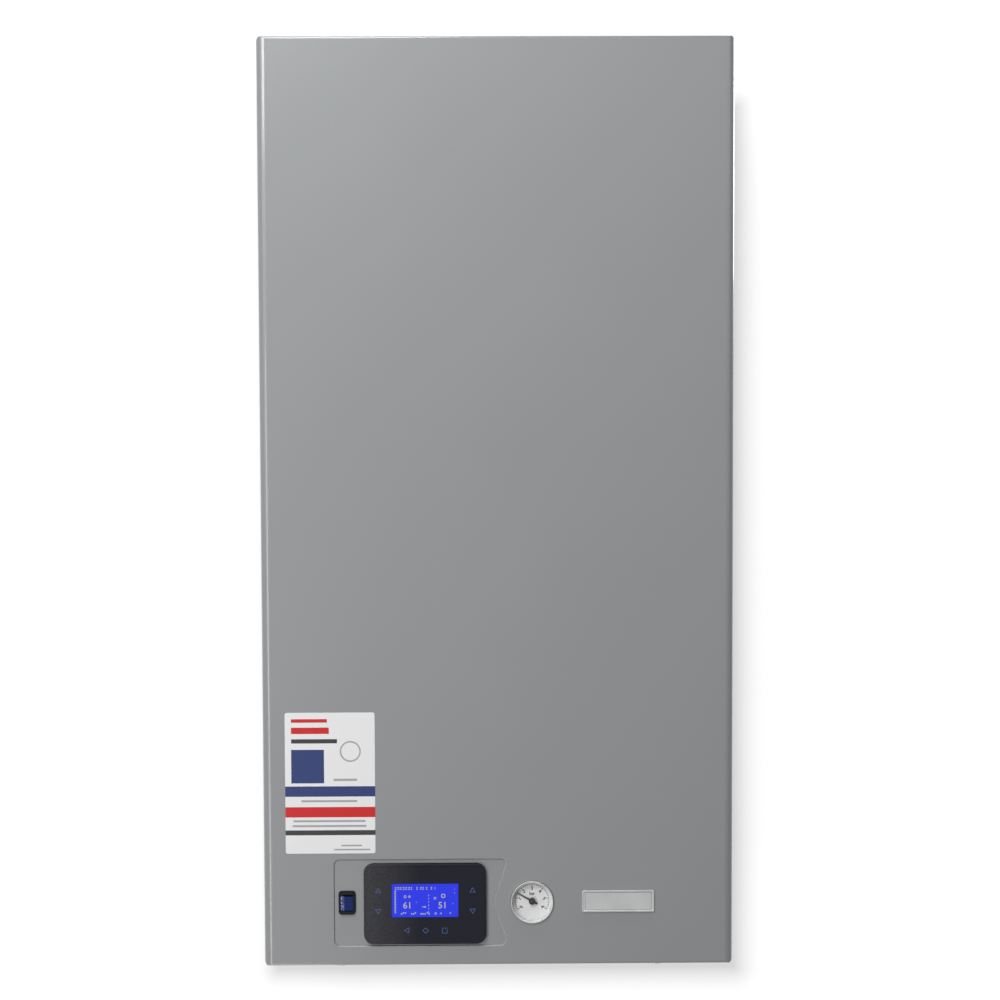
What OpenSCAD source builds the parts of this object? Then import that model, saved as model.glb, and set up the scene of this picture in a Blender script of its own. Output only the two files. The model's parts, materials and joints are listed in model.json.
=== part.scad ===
// Wall-hung electric combi boiler: a sheet steel case with its controls, wiring and water side.
// The wall is the plane Y = 0 and the front faces -Y. The origin is the middle of the wall screws.
// Heights inside the case are counted from the bottom of the front cover.

/* [Case] */
// Width of the front cover
case_w = 444; // [444:1:464]
// Height of the front cover
case_h = 870; // [868:1:900]
// Distance from the wall to the front of the cover
case_d = 280; // [278:1:300]
// Thickness of the cover's sheet
cover_t = 1.2; // [1:0.1:1.4]
// Radius of the cover's upright bends
cover_bend_r = 9; // [6:0.5:12]
// Radius of the cover's top and bottom bends
cover_edge_r = 3; // [2:0.5:4]
// Thickness of the chassis sheets
sheet_t = 1.5; // [1.2:0.1:1.8]
// Height from the wall screws up to the top of the cover
rail_drop = 70; // [60:1:90]
// Distance between the two wall screws
rail_screw_gap = 300; // [240:1:320]

/* [Controls] */
// Width of the display
display_w = 115; // [112:1:118]
// Height of the display
display_h = 76; // [72:1:78]
// Radius of the display's corners
display_r = 9; // [7:0.5:11]
// Width of the lit panel
lcd_w = 62.6; // [56:0.2:64]
// Height of the lit panel
lcd_h = 31.6; // [28:0.2:34]
// Depth of the stamped field round the controls
recess_depth = 1.5; // [1:0.1:2]
// Radius of the pressure gauge
gauge_r = 20; // [18:0.5:21]
// Tilt of the rocker on either side of its middle
rocker_tilt = 9; // [6:0.5:10]
// Width of the badge
badge_w = 68; // [60:1:72]
// Height of the badge
badge_h = 20.5; // [16:0.5:22]
// Width of the paper label
label_w = 84.5; // [70:0.5:85]
// Height of the paper label
label_h = 133.7; // [110:0.1:140]

/* [Water side] */
// Radius of the heating vessel
heater_r = 75; // [70:0.5:76]
// Room over the heating vessel for its wires and air vent, up to the top of the cover
heater_headroom = 210; // [200:1:250]
// Thickness of the vessel's foam jacket
jacket_t = 9; // [6:0.5:9.5]
// Radius of the expansion vessel
tank_r = 135; // [125:1:136]
// Radius of the pump's motor
motor_r = 45; // [40:0.5:46]
// Outside radius of the heating pipes
pipe_r = 11; // [10:0.5:11.5]
// Outside radius of the hot water pipes
thin_pipe_r = 7.5; // [6:0.5:8]
// Outside radius of the 3/4 inch heating tails
heating_tail_r = 13.2; // [12:0.1:13.5]
// Outside radius of the 1/2 inch water tails
water_tail_r = 10.45; // [9.5:0.05:10.6]
// Radius of the hole in the mains cable gland
gland_bore_r = 8; // [6:0.5:8.5]

/* [Hidden] */
$fn = 48;
// Overrun of every cut, gap between a part and its loose seat, and gap round a turning shaft
cut = 1;
half_share = 0.5;
seat_gap = 0.3;
run_gap = 0.05;

// Case and chassis
rail_z = case_h - rail_drop;
wall_gap = 14;
back_y = -wall_gap;
back_front_y = back_y - sheet_t;
front_y = -case_d;
cover_back_gap = 4;
cover_corner_r = 5;
side_gap = 1.3;
chassis_x = case_w / 2 - cover_t - side_gap;
chassis_top = case_h - cover_t - seat_gap;
top_plate_x = min(chassis_x, case_w / 2 - cover_corner_r);
plate_z = 19;
plate_top = plate_z + sheet_t;
post_w = 20;
post_set = 12;
post_front_y = front_y + post_set;
post_inner_y = post_front_y + sheet_t;
flange_w = 25;

// Wall rail and the lip that hangs on it
rail_w = 360;
rail_t = 3;
rail_below = 25;
rail_above = 10;
rail_lip_h = 18;
rail_lip_gap = 5;
rail_hole_r = 4;
hook_w = 340;
hook_t = 2;
hook_lip_h = 12;
hook_plate_h = 22;
foot_hole_r = 3.5;
foot_hole_gap = 300;
foot_hole_z = 45;
pad_w = 30;
pad_h = 50;
pad_side = 34.5;
pad_x = chassis_x - pad_side;
pad_rise = 45;
pad_r = 4;
rail_lip_top = rail_z + rail_above + rail_lip_h;
vent_slots = 6;
vent_slot_x = 100;
vent_slot_y = -60;
vent_slot_w = 120;
vent_slot_h = 5;
vent_pitch = 16;

// Cover screws and their tabs
screw_x = 150;
screw_r = 2.5;
screw_gap = 0.2;
screw_head_r = 5.5;
screw_head_t = 3;
screw_set = 15;
screw_y = front_y + screw_set;
cover_flange_w = 30;
tab_w = 40;
tab_set = 24;
tab_y = front_y + tab_set;
tab_foot_z = cover_t + seat_gap;
screw_slot_r = 3;
screw_drive_w = 1.2;
screw_drive_depth = 1.5;
nut_flats = 8;
nut_t = 3.5;
nut_gap = 0.1;
screw_end = 2;

// Field of controls, placed from the middle of the cover and from its bottom
control_z = 60;
recess_left = -155;
recess_right = 6.3;
recess_h = 82;
recess_notch = 12.2;
recess_corner_r = 5;
notch_top = 35.3;
notch_bottom = 34.4;
cutout_gap = 0.5;
seam_gap = 0.05;
panel_side = 17;
panel_end = 2.7;
panel_rim = 4;
display_x = -69.5;
display_z = 59;
display_proud = 4;
lcd_rise = 3.6;
rocker_x = -143.2;
rocker_w = 15.2;
rocker_h = 21.6;
rocker_corner_r = 2.5;
gauge_x = 31.7;
badge_x = 113;
badge_z = 60.7;
badge_t = 1.6;
badge_sunk = 0.5;
badge_rim = 1.4;
badge_corner_r = 1.5;
label_side = 21.55;
label_x = label_side + label_w / 2 - case_w / 2;
label_z = 174.3;
label_t = 0.25;
label_r = 2;

recess_floor_y = front_y + recess_depth;
fascia_y = post_inner_y;
fascia_back_y = fascia_y + sheet_t;
fascia_gap = 3;
fascia_bottom = plate_top + fascia_gap;
fascia_rise = 44;
fascia_top = control_z + fascia_rise;
fascia_fold = 10;

// Display
display_front_y = recess_floor_y - display_proud;
glass_t = 1.2;
display_rim = 2;
display_wall = 5;
display_side_t = 3;
board_t = 1.6;
lcd_gap = 0.2;
lcd_inset = 0.2;
glass_gap = 0.1;
board_boss_r = 3;
board_boss_h = 4;
board_inset = 1;
glass_back_y = display_front_y + glass_t;
pocket_y = glass_back_y + display_wall;
board_y = pocket_y + board_boss_h;
display_plug = [20, 8, 8];
display_slot_gap = 2;
plug_x = -30;
chip = [12, 1.8, 12];
chip_shares = [-0.31, -0.13, 0.08];

// Rocker switch
rocker_proud = 2.5;
rocker_front_y = recess_floor_y - rocker_proud;
paddle_w = 11.4;
paddle_h = 14;
paddle_gap = 0.35;
paddle_front = 4.2;
paddle_dip = 1.1;
paddle_back = 0.5;
paddle_taper = 1;
rocker_pivot_depth = 4.6;
rocker_pivot_y = rocker_front_y + rocker_pivot_depth;
rocker_pocket_h = paddle_h * cos(rocker_tilt)
    + 2 * (paddle_front * sin(rocker_tilt) + paddle_gap);
axle_r = 0.8;
axle_reach = 1;
axle_half = paddle_w / 2 + paddle_gap + axle_reach;
paddle_hub_r = 2.6;
rocker_pocket_l = 5;
rocker_pocket_y = rocker_pivot_y + rocker_pocket_l;
switch_body_w = 12.8;
switch_body_h = 18.8;
switch_body_l = 18;
blade_w = 4.8;
blade_t = 0.8;
blade_l = 8;
blade_gap = 7;

// Pressure gauge
gauge_proud = 2;
gauge_front_y = front_y - gauge_proud;
gauge_wall = 1.5;
gauge_ledge = 0.9;
lens_t = 1.2;
lens_inset = 0.4;
lens_gap = 0.1;
dial_t = 0.6;
dial_depth = 7;
dial_floor_y = gauge_front_y + dial_depth;
gauge_shoulder = 3;
gauge_back_l = 8;
gauge_neck_r = 8;
gauge_neck_l = 14;
gauge_back_y = fascia_back_y + gauge_back_l;
gauge_end_y = gauge_back_y + gauge_neck_l;
needle_hub_r = 3.2;
needle_hub_t = 2;
needle_tip_w = 0.35;
needle_root_w = 1.1;
dial_hole_r = 1;
needle_l = 16;
needle_tail = 5.4;
needle_t = 0.6;
needle_gap = 0.6;
needle_shaft_r = 0.6;
needle_shaft_l = 4;
lens_back_y = gauge_front_y + lens_inset + lens_t;
needle_back_y = dial_floor_y - dial_t - needle_gap;
needle_end_y = needle_back_y + needle_shaft_l;
scale_start = 210;
scale_per_bar = 40;
needle_bar = 1.47;
needle_angle = scale_start - scale_per_bar * needle_bar;
capillary_r = 1;
capillary_bend_r = 5;

// Reset thermostat
thermostat_side = 59.5;
thermostat_x = chassis_x - thermostat_side;
thermostat_neck_r = 5;
thermostat_w = 30;
thermostat_h = 34;
thermostat_d = 26;
thermostat_neck_l = 5;
thermostat_nut_af = 14;
thermostat_nut_t = 3;
button_r = 2.5;
button_out = 3;
button_l = 9;
button_gap = 0.1;
button_travel = 2;
button_end_y = fascia_y - thermostat_neck_l - button_out + button_l;
bulb_y = -252;
bulb_cross_drop = 65;

// Electrical tray, counted from the wall and the bottom of the cover
tray_y = -120;
tray_front_y = tray_y - sheet_t;
tray_left = -60;
tray_right = chassis_x - sheet_t;
tray_top_gap = 20;
tray_h = 225;
tray_top = case_h - tray_top_gap;
tray_bottom = tray_top - tray_h;
bulb_cross_z = tray_bottom - bulb_cross_drop;
tray_step_x = -36;
tray_step_h = 65;
tray_step_z = tray_bottom + tray_step_h;
tray_foot_w = 12;
pillar_r = 3;
pillar_h = 5;
board_x = -48;
board_w = 170;
board_h = 104;
board_drop = 62;
board_z = tray_top - board_drop;
pillar_inset = 6;
board_front_y = tray_front_y - pillar_h - board_t;
din_rise = 47;
din_z = tray_bottom + din_rise;
din_h = 35;
din_d = 7.5;
din_core = 27;
din_t = 1;
din_left = -28;
din_right_gap = 13;
din_right = tray_right - din_right_gap;
din_front_y = tray_front_y - din_d;
relay = [16, 20, 26];
relay_shares = [-0.41, -0.29, -0.17, -0.05, 0.07];
relay_row_share = 0.27;
transformer = [40, 30, 34];
transformer_share = 0.34;
middle_row_share = -0.02;
main_chip = [18, 3, 18];
main_chip_share = -0.12;
capacitor_shares = [-0.41, -0.3, 0.1];
capacitor_r = 6;
capacitor_l = 18;
board_plug = [14, 10, 8];
plug_shares = [-0.42, -0.29, -0.16, -0.03, 0.1, 0.23, 0.44];
plug_row_share = -0.44;
contactor_x = 5;
contactor_w = 45;
contactor_h = 80;
contactor_d = 62;
contactor_nose_h = 46;
contactor_nose_d = 16;
plunger_w = 8;
plunger_h = 12;
plunger_out = 4.5;
plunger_travel = 3.5;
plunger_depth = 12;
plunger_end_y = din_front_y - contactor_d - contactor_nose_d + plunger_depth;
plunger_gap = 0.15;
pole_gap = 12;
pole_y = -160;
pole_hole_r = 3.2;
pole_hole_depth = 6;
pole_inset = 10;
terminal_x = 130;
terminal_pitch = 12;
terminal_count = 6;
terminal_xs = [for (i = [0 : terminal_count - 1])
    terminal_x + terminal_pitch * (i - (terminal_count - 1) / 2)];
terminal_h = 42;
terminal_d = 34;
terminal_y = -146;
terminal_groove = 1;
terminal_hole_r = 3;
terminal_hole_depth = 5;
terminal_inset = 9;

// Heating vessel
heater_x = -125;
heater_y = -150;
heater_bottom = 240;
heater_top = case_h - heater_headroom;
bulb_rise = 30;
bulb_top_z = heater_top + bulb_rise;
heater_wall = 2.5;
heater_flange_t = 8;
jacket_gap = 0.3;
jacket_end = 6;
jacket_r = heater_r + jacket_gap + jacket_t;
boss_r = 13;
boss_h = 8;
outlet_x = -140;
inlet_x = -95;
row_y = -100;
element_ring_r = 40;
element_turns = [30, 150, 270];
element_plug_r = 15;
element_plug_gap = 0.2;
element_af = 36;
element_head_h = 14;
element_rod_r = 4;
element_bend_r = 7;
element_rod_end = 70;
stud_insulator_r = 4;
stud_insulator_h = 10;
stud_r = 1.8;
stud_h = 10;
stud_gap = 16;
band_t = 1.5;
band_w = 22;
band_inset = 80;
band_leg_x = 25;
band_leg_t = 3;
band_foot_w = 16;
pocket_x = -77.4;
pocket_y_at = -177.5;
pocket_r = 5;
pocket_h = 20;
element_places = [for (a = element_turns)
    [heater_x + element_ring_r * cos(a), heater_y + element_ring_r * sin(a)]];
stud_top = heater_top + element_head_h + stud_insulator_h + stud_h;
live_studs = [element_places[0] + [stud_gap / 2, 0], element_places[2] - [stud_gap / 2, 0],
    element_places[1] - [stud_gap / 2, 0]];
neutral_studs = [element_places[0] - [stud_gap / 2, 0], element_places[2] + [stud_gap / 2, 0],
    element_places[1] + [stud_gap / 2, 0]];

// Air vent
vent_neck_r = 7;
vent_neck_h = 12;
vent_r = 15;
vent_h = 40;
vent_cap_r = 5;
vent_cap_h = 9;
vent_pin_r = 2;
vent_pin_l = 5;
vent_flats = 24;
vent_top = heater_top + vent_neck_h + vent_h;

// Expansion vessel
tank_x = 78;
tank_drop = 170;
tank_z = case_h - tank_drop;
tank_d = 89.5;
tank_fillet = 38;
tank_wall = 1.5;
tank_rim_w = 10;
tank_rim_t = 2;
diaphragm_t = 1.5;
tank_port_r = 8;
tank_port_l = 14;
tank_port_bore_r = 3;
valve_stem_r = 4;
valve_stem_l = 11;
valve_stem_drop = 84;
hose_nut_af = 19;
hose_nut_h = 10;
hose_r = 5;
hose_wall = 1.5;
hose_side = 21.5;
hose_x = chassis_x - hose_side;
hose_drop = 31;
tank_mid_y = back_front_y - tank_d / 2;

// Pump
pump_x = 140;
pump_z = 200;
pump_port_l = 65;
volute_r = 38;
volute_front_l = 25;
volute_back_l = 20;
volute_front_y = row_y - volute_front_l;
volute_back_y = row_y + volute_back_l;
volute_wall = 5;
pump_neck_r = 16;
pump_bore_r = 11;
pump_nut_af = 37;
pump_nut_h = 16;
motor_l = 68;
motor_cap_r = 30;
motor_cap_l = 5;
motor_box_w = 12;
motor_box_h = 44;
motor_box_l = 56;
motor_box_inset = 6;
motor_front_y = volute_front_y - motor_l;
rotor_r = 24;
rotor_gap = 1;
shaft_r = 4;
shaft_seat = 4;
motor_end_wall = 10;
shaft_hole_r = 10;
impeller_r = 28;
impeller_t = 2;
impeller_w = 18;
impeller_gap = 8;
impeller_hub_r = 8;
vane_count = 6;
vane_t = 2;

// Plate heat exchanger
exchanger_w = 190;
exchanger_d = 75;
exchanger_h = 60;
exchanger_z = 130;
exchanger_y = -77.5;
exchanger_port_x = 75;
exchanger_rear_y = -55;
exchanger_port_h = 12;
exchanger_port_r = 10;
exchanger_bore_r = 6;
exchanger_plates = 12;
exchanger_groove = 2;
exchanger_end_t = 4;
exchanger_plate_r = 10;
exchanger_bore_l = 20;

// Diverter valve
diverter_x = outlet_x;
diverter_z = 92;
diverter_bottom = 65;
diverter_top = 140;
diverter_r = 16;
diverter_bonnet_r = 20;
diverter_chamber_r = 14;
diverter_bonnet_y = -135;
diverter_rear_y = -84;
diverter_wall = 4;
diverter_port_r = 13;
diverter_port_y = -72;
diverter_nut_h = 12;
disc_y = -126;
stem_tip_y = -108;
stem_r = 3;
stem_disc_r = 12;
stem_disc_t = 4;
stem_motor_depth = 20;
diverter_motor_w = 44;
diverter_motor_h = 50;
diverter_motor_d = 60;
diverter_motor_r = 6;

// Safety valve
safety_x = 0;
safety_y = -150;
safety_bottom = 60;
safety_top = 116;
safety_r = 13;
safety_port_z = 100;
safety_port_r = 10;
safety_port_l = 16;
safety_lid = 8;
bonnet_r = 10;
bonnet_l = 12;
safety_knob_r = 13;
safety_knob_l = 20;
safety_pin_r = 3;
safety_pin_l = 8;
knob_ribs = 10;
bonnet_y = safety_y - safety_r - bonnet_l;
knob_rib_r = 1.2;

// Flow sensor
sensor_x = 75;
sensor_h = 50;
sensor_r = 15;
sensor_chamber_r = 11;
sensor_lip = 4;
spider_inset = 4;
shaft_inset = 0.5;
spider_t = 2.5;
spider_w = 3;
spider_hub_r = 3;
turbine_r = 9.5;
turbine_h = 18;
turbine_hub_r = 3;
turbine_shaft_r = 1;
turbine_blades = 6;
blade_thickness = 1;
sensor_box_w = 16;
sensor_box_d = 12;
sensor_box_h = 24;
sensor_box_seat = 2;
quarter = 90;

// Filling valve
fill_z = 42;
fill_body_r = 9;
fill_bore_r = 5;
fill_stem_r = 4;
fill_stem_end = 10;
fill_knob_r = 11.5;
fill_knob_top = 8;
fill_knob_h = 18;
fill_pin_r = 2;
fill_pin_l = 8;

// Pipe tails
tail_end = -12;
tail_hex_h = 11;
tail_nut_h = 7;
tail_hole_gap = 0.3;
heating_tail_af = 34;
water_tail_af = 27;
heating_bore_r = 9;
water_bore_r = 6;
manifold_r = 14;
column_r = 12;
water_top = 44;
return_port_z = 92;
return_port_r = 13;
hose_port_z = 72;
branch_r = 9;
branch_bore_r = 5;
branch_reach = 4;
branch_lip = 1;
sensor_bottom = fill_z + branch_r + branch_lip;
sensor_top = sensor_bottom + sensor_h;
turbine_mid_z = (sensor_bottom + sensor_top) / 2;
cold_branch_end = sensor_x + column_r + branch_reach;
return_branch_end = pump_x - manifold_r - branch_reach;
fill_x = (cold_branch_end + return_branch_end) / 2;
pump_bottom = pump_z - pump_port_l;
pump_top = pump_z + pump_port_l;
pipe_wall = 1;
elbow_r = 13;
crossover_z = 300;
feed_z = 208;
crossover_x = 40;

// Each tail: x, y, radius, bore, flats, top and the radius of its upper part
tails = [
    [diverter_x, row_y, heating_tail_r, heating_bore_r, heating_tail_af, diverter_bottom, manifold_r],
    [-exchanger_port_x, row_y, water_tail_r, water_bore_r, water_tail_af, water_top, column_r],
    [safety_x, safety_y, water_tail_r, water_bore_r, water_tail_af, safety_bottom, column_r],
    [sensor_x, row_y, water_tail_r, water_bore_r, water_tail_af, sensor_bottom, column_r],
    [pump_x, row_y, heating_tail_r, heating_bore_r, heating_tail_af, pump_bottom, manifold_r]
];

// Cable glands
gland_y = -190;
gland_x = 60;
small_gland_x = 100;
gland_xs = [gland_x, small_gland_x];
gland_body_r = 12.5;
gland_flats = 27;
gland_nut_flats = 30;
gland_dome_r = 13;
gland_bottom = -4;
gland_hex_z = 8;
gland_nut_h = 6;
gland_inner_h = 11;
gland_top = plate_top + gland_inner_h;
small_gland_share = 0.6;
gland_shares = [1, small_gland_share];

// Wires, each a list of corners
wire_r = 1.8;
wire_bend_r = 6;
cable_r = 3;
cable_bend_r = 8;
cable_y = -238;
cable_x = board_x + board_w * (half_share + plug_shares[len(plug_shares) - 1]);
cable_cross_drop = 85;
cable_end_l = 11;
cable_cross_z = tray_bottom - cable_cross_drop;
cable_top_z = board_z - board_h / 2 - cable_end_l;
mains_gap = 4;
wire_gap = 8;
mains_drop = 31;
feed_drop = 55;
mains_zs = [for (i = [0 : 2]) din_z - terminal_h / 2 - mains_drop - wire_gap * i];
feed_zs = [for (i = [0 : 2]) din_z - terminal_h / 2 - feed_drop - wire_gap * i];
live_rise = 33;
live_gap = 6;
live_zs = [for (i = [0 : 2]) stud_top + live_rise + live_gap * i];
neutral_rise = 26;
neutral_z = stud_top + neutral_rise;
jumper_rise = 15;
jumper_step = 8;
jumper_z = stud_top + jumper_rise;
earth_rise = 10;
earth_z = din_z + terminal_h / 2 + earth_rise;
earth_x = 180;

module on_base() translate([0, 0, -rail_z]) children();
module block(a, b) translate(a) cube(b - a);
module rod_x(y, z, x0, x1, r) translate([x0, y, z]) rotate([0, 90, 0]) cylinder(r = r, h = x1 - x0);
module rod_y(x, z, y0, y1, r) translate([x, y0, z]) rotate([-90, 0, 0]) cylinder(r = r, h = y1 - y0);
module rod_z(x, y, z0, z1, r) translate([x, y, z0]) cylinder(r = r, h = z1 - z0);
module hex_z(x, y, z0, z1, flats) rod_z(x, y, z0, z1, flats / sqrt(3), $fn = 6);

function unit(v) = v / norm(v);

module both_sides() {
    children();
    mirror([1, 0, 0]) children();
}
// Flat shape with round corners, from x0 to x1 and from y0 to y1
module round_rect(x0, x1, y0, y1, r) {
    translate([x0 + r, y0]) square([x1 - x0 - 2 * r, y1 - y0]);
    translate([x0, y0 + r]) square([x1 - x0, y1 - y0 - 2 * r]);
    for (x = [x0 + r, x1 - r]) for (y = [y0 + r, y1 - r]) translate([x, y]) circle(r);
}
module round_mid(x, y, w, h, r) round_rect(x - w / 2, x + w / 2, y - h / 2, y + h / 2, r);
// Flat shapes stood up: drawn in X and Z between two depths, or in Y and Z between two sides
module stand_y(y0, y1) translate([0, y1, 0]) rotate([90, 0, 0]) linear_extrude(y1 - y0) children();
module stand_x(x0, x1) translate([x0, 0, 0]) rotate([90, 0, 90]) linear_extrude(x1 - x0) children();
module stand_z(z0, z1) translate([0, 0, z0]) linear_extrude(z1 - z0) children();
// A turned shape round Z, moved to a place and laid along -Y
module turn_y(x, y, z) translate([x, y, z]) rotate([90, 0, 0]) rotate_extrude() children();

// One straight length of tube or rod from a to b
module straight(a, b, r, wall) {
    way = b - a;
    turn = way.z != 0 ? [way.z > 0 ? 0 : 180, 0, 0] : way.x != 0 ? [0, way.x > 0 ? 90 : -90, 0]
        : [way.y > 0 ? -90 : 90, 0, 0];
    translate(a) rotate(turn) difference() {
        cylinder(r = r, h = norm(way));
        if (wall > 0) translate([0, 0, -cut]) cylinder(r = r - wall, h = norm(way) + 2 * cut);
    }
}
// A quarter bend at p, from direction d to direction e
module bend(p, d, e, bend_r, r, wall) {
    c = p - bend_r * d + bend_r * e;
    w = cross(d, e);
    multmatrix([[-e.x, d.x, w.x, c.x], [-e.y, d.y, w.y, c.y], [-e.z, d.z, w.z, c.z], [0, 0, 0, 1]])
        rotate_extrude(angle = 90) translate([bend_r, 0]) difference() {
            circle(r);
            if (wall > 0) circle(r - wall);
        }
}
// Tube along points that turn only by right angles
module run(points, r, wall, bend_r) {
    last = len(points) - 1;
    ways = [for (i = [0 : last - 1]) unit(points[i + 1] - points[i])];
    for (i = [0 : last - 1])
        straight(points[i] + (i > 0 ? bend_r : 0) * ways[i],
            points[i + 1] - (i < last - 1 ? bend_r : 0) * ways[i], r, wall);
    for (i = [1 : last - 1]) bend(points[i], ways[i - 1], ways[i], bend_r, r, wall);
}

// Case and chassis
module wall_rail() color("gainsboro") on_base() difference() {
    lip_back = -(rail_lip_gap + rail_t);
    union() {
        block([-rail_w / 2, -rail_t, rail_z - rail_below], [rail_w / 2, 0, rail_z + rail_above + rail_t]);
        block([-rail_w / 2, lip_back - rail_t, rail_z + rail_above],
            [rail_w / 2, 0, rail_z + rail_above + rail_t]);
        block([-rail_w / 2, lip_back - rail_t, rail_z + rail_above],
            [rail_w / 2, lip_back, rail_lip_top]);
    }
    both_sides() rod_y(rail_screw_gap / 2, rail_z, -rail_t - cut, cut, rail_hole_r);
}
module back_panel() color("lightgray") on_base() difference() {
    hook_y = -(rail_t + rail_lip_gap / 2 + hook_t / 2);
    union() {
        block([-chassis_x, back_front_y, plate_z], [chassis_x, back_y, chassis_top - sheet_t]);
        both_sides() block([chassis_x - sheet_t, back_front_y - flange_w, plate_top],
            [chassis_x, back_y, chassis_top - sheet_t]);
        block([-hook_w / 2, back_y, rail_lip_top], [hook_w / 2, hook_y + hook_t, rail_lip_top + hook_t]);
        block([-hook_w / 2, hook_y, rail_lip_top - hook_lip_h],
            [hook_w / 2, hook_y + hook_t, rail_lip_top + hook_t]);
        block([-hook_w / 2, back_y, rail_lip_top],
            [hook_w / 2, back_y + hook_t, rail_lip_top + hook_plate_h]);
    }
    both_sides() rod_y(foot_hole_gap / 2, foot_hole_z, back_front_y - cut, back_y + cut, foot_hole_r);
}
module wall_pads() color("dimgray") on_base() both_sides() stand_y(back_y, 0)
    round_mid(pad_x, foot_hole_z + pad_rise, pad_w, pad_h, pad_r);
module top_plate() color("lightgray") on_base() difference() {
    union() {
        block([-top_plate_x, post_front_y, chassis_top - sheet_t], [top_plate_x, back_y, chassis_top]);
        block([post_w - chassis_x, post_front_y, chassis_top - flange_w],
            [chassis_x - post_w, post_inner_y, chassis_top]);
    }
    both_sides() for (i = [0 : vent_slots - 1])
        stand_z(chassis_top - sheet_t - cut, chassis_top + cut)
            translate([vent_slot_x, vent_slot_y - vent_pitch * i])
                round_mid(0, 0, vent_slot_w, vent_slot_h, vent_slot_h / 2 - seat_gap);
}
module bottom_plate() color("lightgray") on_base() difference() {
    union() {
        block([-chassis_x, post_front_y, plate_z], [chassis_x, back_front_y, plate_top]);
        both_sides() {
            block([screw_x - tab_w / 2, tab_y, tab_foot_z],
                [screw_x + tab_w / 2, tab_y + sheet_t, plate_top]);
            block([screw_x - tab_w / 2, post_front_y, tab_foot_z],
                [screw_x + tab_w / 2, tab_y + sheet_t, tab_foot_z + sheet_t]);
        }
    }
    both_sides() {
        rod_z(screw_x, screw_y, 0, plate_z, screw_slot_r);
        block([screw_x - screw_slot_r, post_front_y - cut, 0], [screw_x + screw_slot_r, screw_y, plate_z]);
    }
    for (t = tails) rod_z(t[0], t[1], plate_z - cut, plate_top + cut, t[2] + tail_hole_gap);
    for (i = [0, 1]) rod_z(gland_xs[i], gland_y, plate_z - cut, plate_top + cut,
        gland_body_r * gland_shares[i] + tail_hole_gap);
    rod_z(fill_x, row_y, plate_z - cut, plate_top + cut, fill_stem_r + tail_hole_gap);
}
module front_posts() color("lightgray") on_base() both_sides() {
    block([chassis_x - post_w, post_front_y, plate_top], [chassis_x, post_inner_y, chassis_top - sheet_t]);
    block([chassis_x - sheet_t, post_front_y, plate_top],
        [chassis_x, post_front_y + post_w, chassis_top - sheet_t]);
}

// Front cover, with the field of controls stamped into it
module cover_form(inset, back) {
    x = case_w / 2 - inset;
    far = back + cover_corner_r + cut;
    intersection() {
        stand_z(inset, case_h - inset) round_rect(-x, x, front_y + inset, far, cover_bend_r - inset);
        stand_x(-x, x) round_rect(front_y + inset, far, inset, case_h - inset, cover_edge_r - inset);
        stand_y(front_y + inset, back) round_rect(-x, x, inset, case_h - inset, cover_corner_r - inset);
    }
}
module recess_form(grow) difference() {
    edge = recess_right + grow;
    round_rect(recess_left - grow, edge, control_z - recess_h / 2 - grow, control_z + recess_h / 2 + grow,
        recess_corner_r + grow);
    polygon([[edge + cut, control_z + notch_top], [edge, control_z + notch_top],
        [edge - recess_notch, control_z], [edge, control_z - notch_bottom],
        [edge + cut, control_z - notch_bottom]]);
}
module control_cuts(gap) {
    round_mid(display_x, display_z, display_w + 2 * gap, display_h + 2 * gap, display_r + gap);
    round_mid(rocker_x, control_z, rocker_w + 2 * gap, rocker_h + 2 * gap, rocker_corner_r + gap);
    translate([gauge_x, control_z]) circle(gauge_r + gap);
}
module panel_form(grow) {
    half = recess_h / 2 + panel_rim + grow;
    round_rect(recess_left - panel_side - grow, recess_right + panel_end + grow, control_z - half,
        control_z + half, recess_corner_r);
}
module front_cover() color("silver") on_base() {
    sheet_end = front_y + cover_t;
    floor_end = recess_floor_y + cover_t;
    difference() {
        cover_form(0, -cover_back_gap);
        cover_form(cover_t, cut);
        block([cover_corner_r - case_w / 2, front_y + cover_flange_w, -cut],
            [case_w / 2 - cover_corner_r, 0, cover_t + cut]);
        stand_y(front_y - cut, sheet_end + cut) {
            panel_form(0);
            control_cuts(cutout_gap);
        }
        both_sides() rod_z(screw_x, screw_y, -cut, cover_t + cut, screw_r + screw_gap);
    }
    difference() {
        union() {
            stand_y(front_y, sheet_end) panel_form(-seam_gap);
            stand_y(front_y, floor_end) recess_form(cover_t);
        }
        stand_y(front_y - cut, recess_floor_y) recess_form(0);
        stand_y(front_y - cut, floor_end + cut) control_cuts(cutout_gap);
    }
}
module cover_screws() color("dimgray") on_base() both_sides() {
    nut_z = tab_foot_z + sheet_t + nut_gap;
    difference() {
        rod_z(screw_x, screw_y, -screw_head_t, 0, screw_head_r);
        block([screw_x - screw_head_r, screw_y - screw_drive_w / 2, -screw_head_t - cut],
            [screw_x + screw_head_r, screw_y + screw_drive_w / 2, screw_drive_depth - screw_head_t]);
    }
    rod_z(screw_x, screw_y, -screw_drive_depth, nut_z + nut_t + screw_end, screw_r);
    hex_z(screw_x, screw_y, nut_z, nut_z + nut_t, nut_flats);
}
module cover_badge() color("whitesmoke") on_base() difference() {
    stand_y(front_y - badge_t, front_y) round_mid(badge_x, badge_z, badge_w, badge_h, badge_corner_r);
    stand_y(front_y - badge_t - cut, front_y - badge_t + badge_sunk)
        round_mid(badge_x, badge_z, badge_w - 2 * badge_rim, badge_h - 2 * badge_rim, badge_corner_r / 2);
}
module cover_label() color("white") on_base() stand_y(front_y - label_t, front_y)
    round_mid(label_x, label_z, label_w, label_h, label_r);

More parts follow.
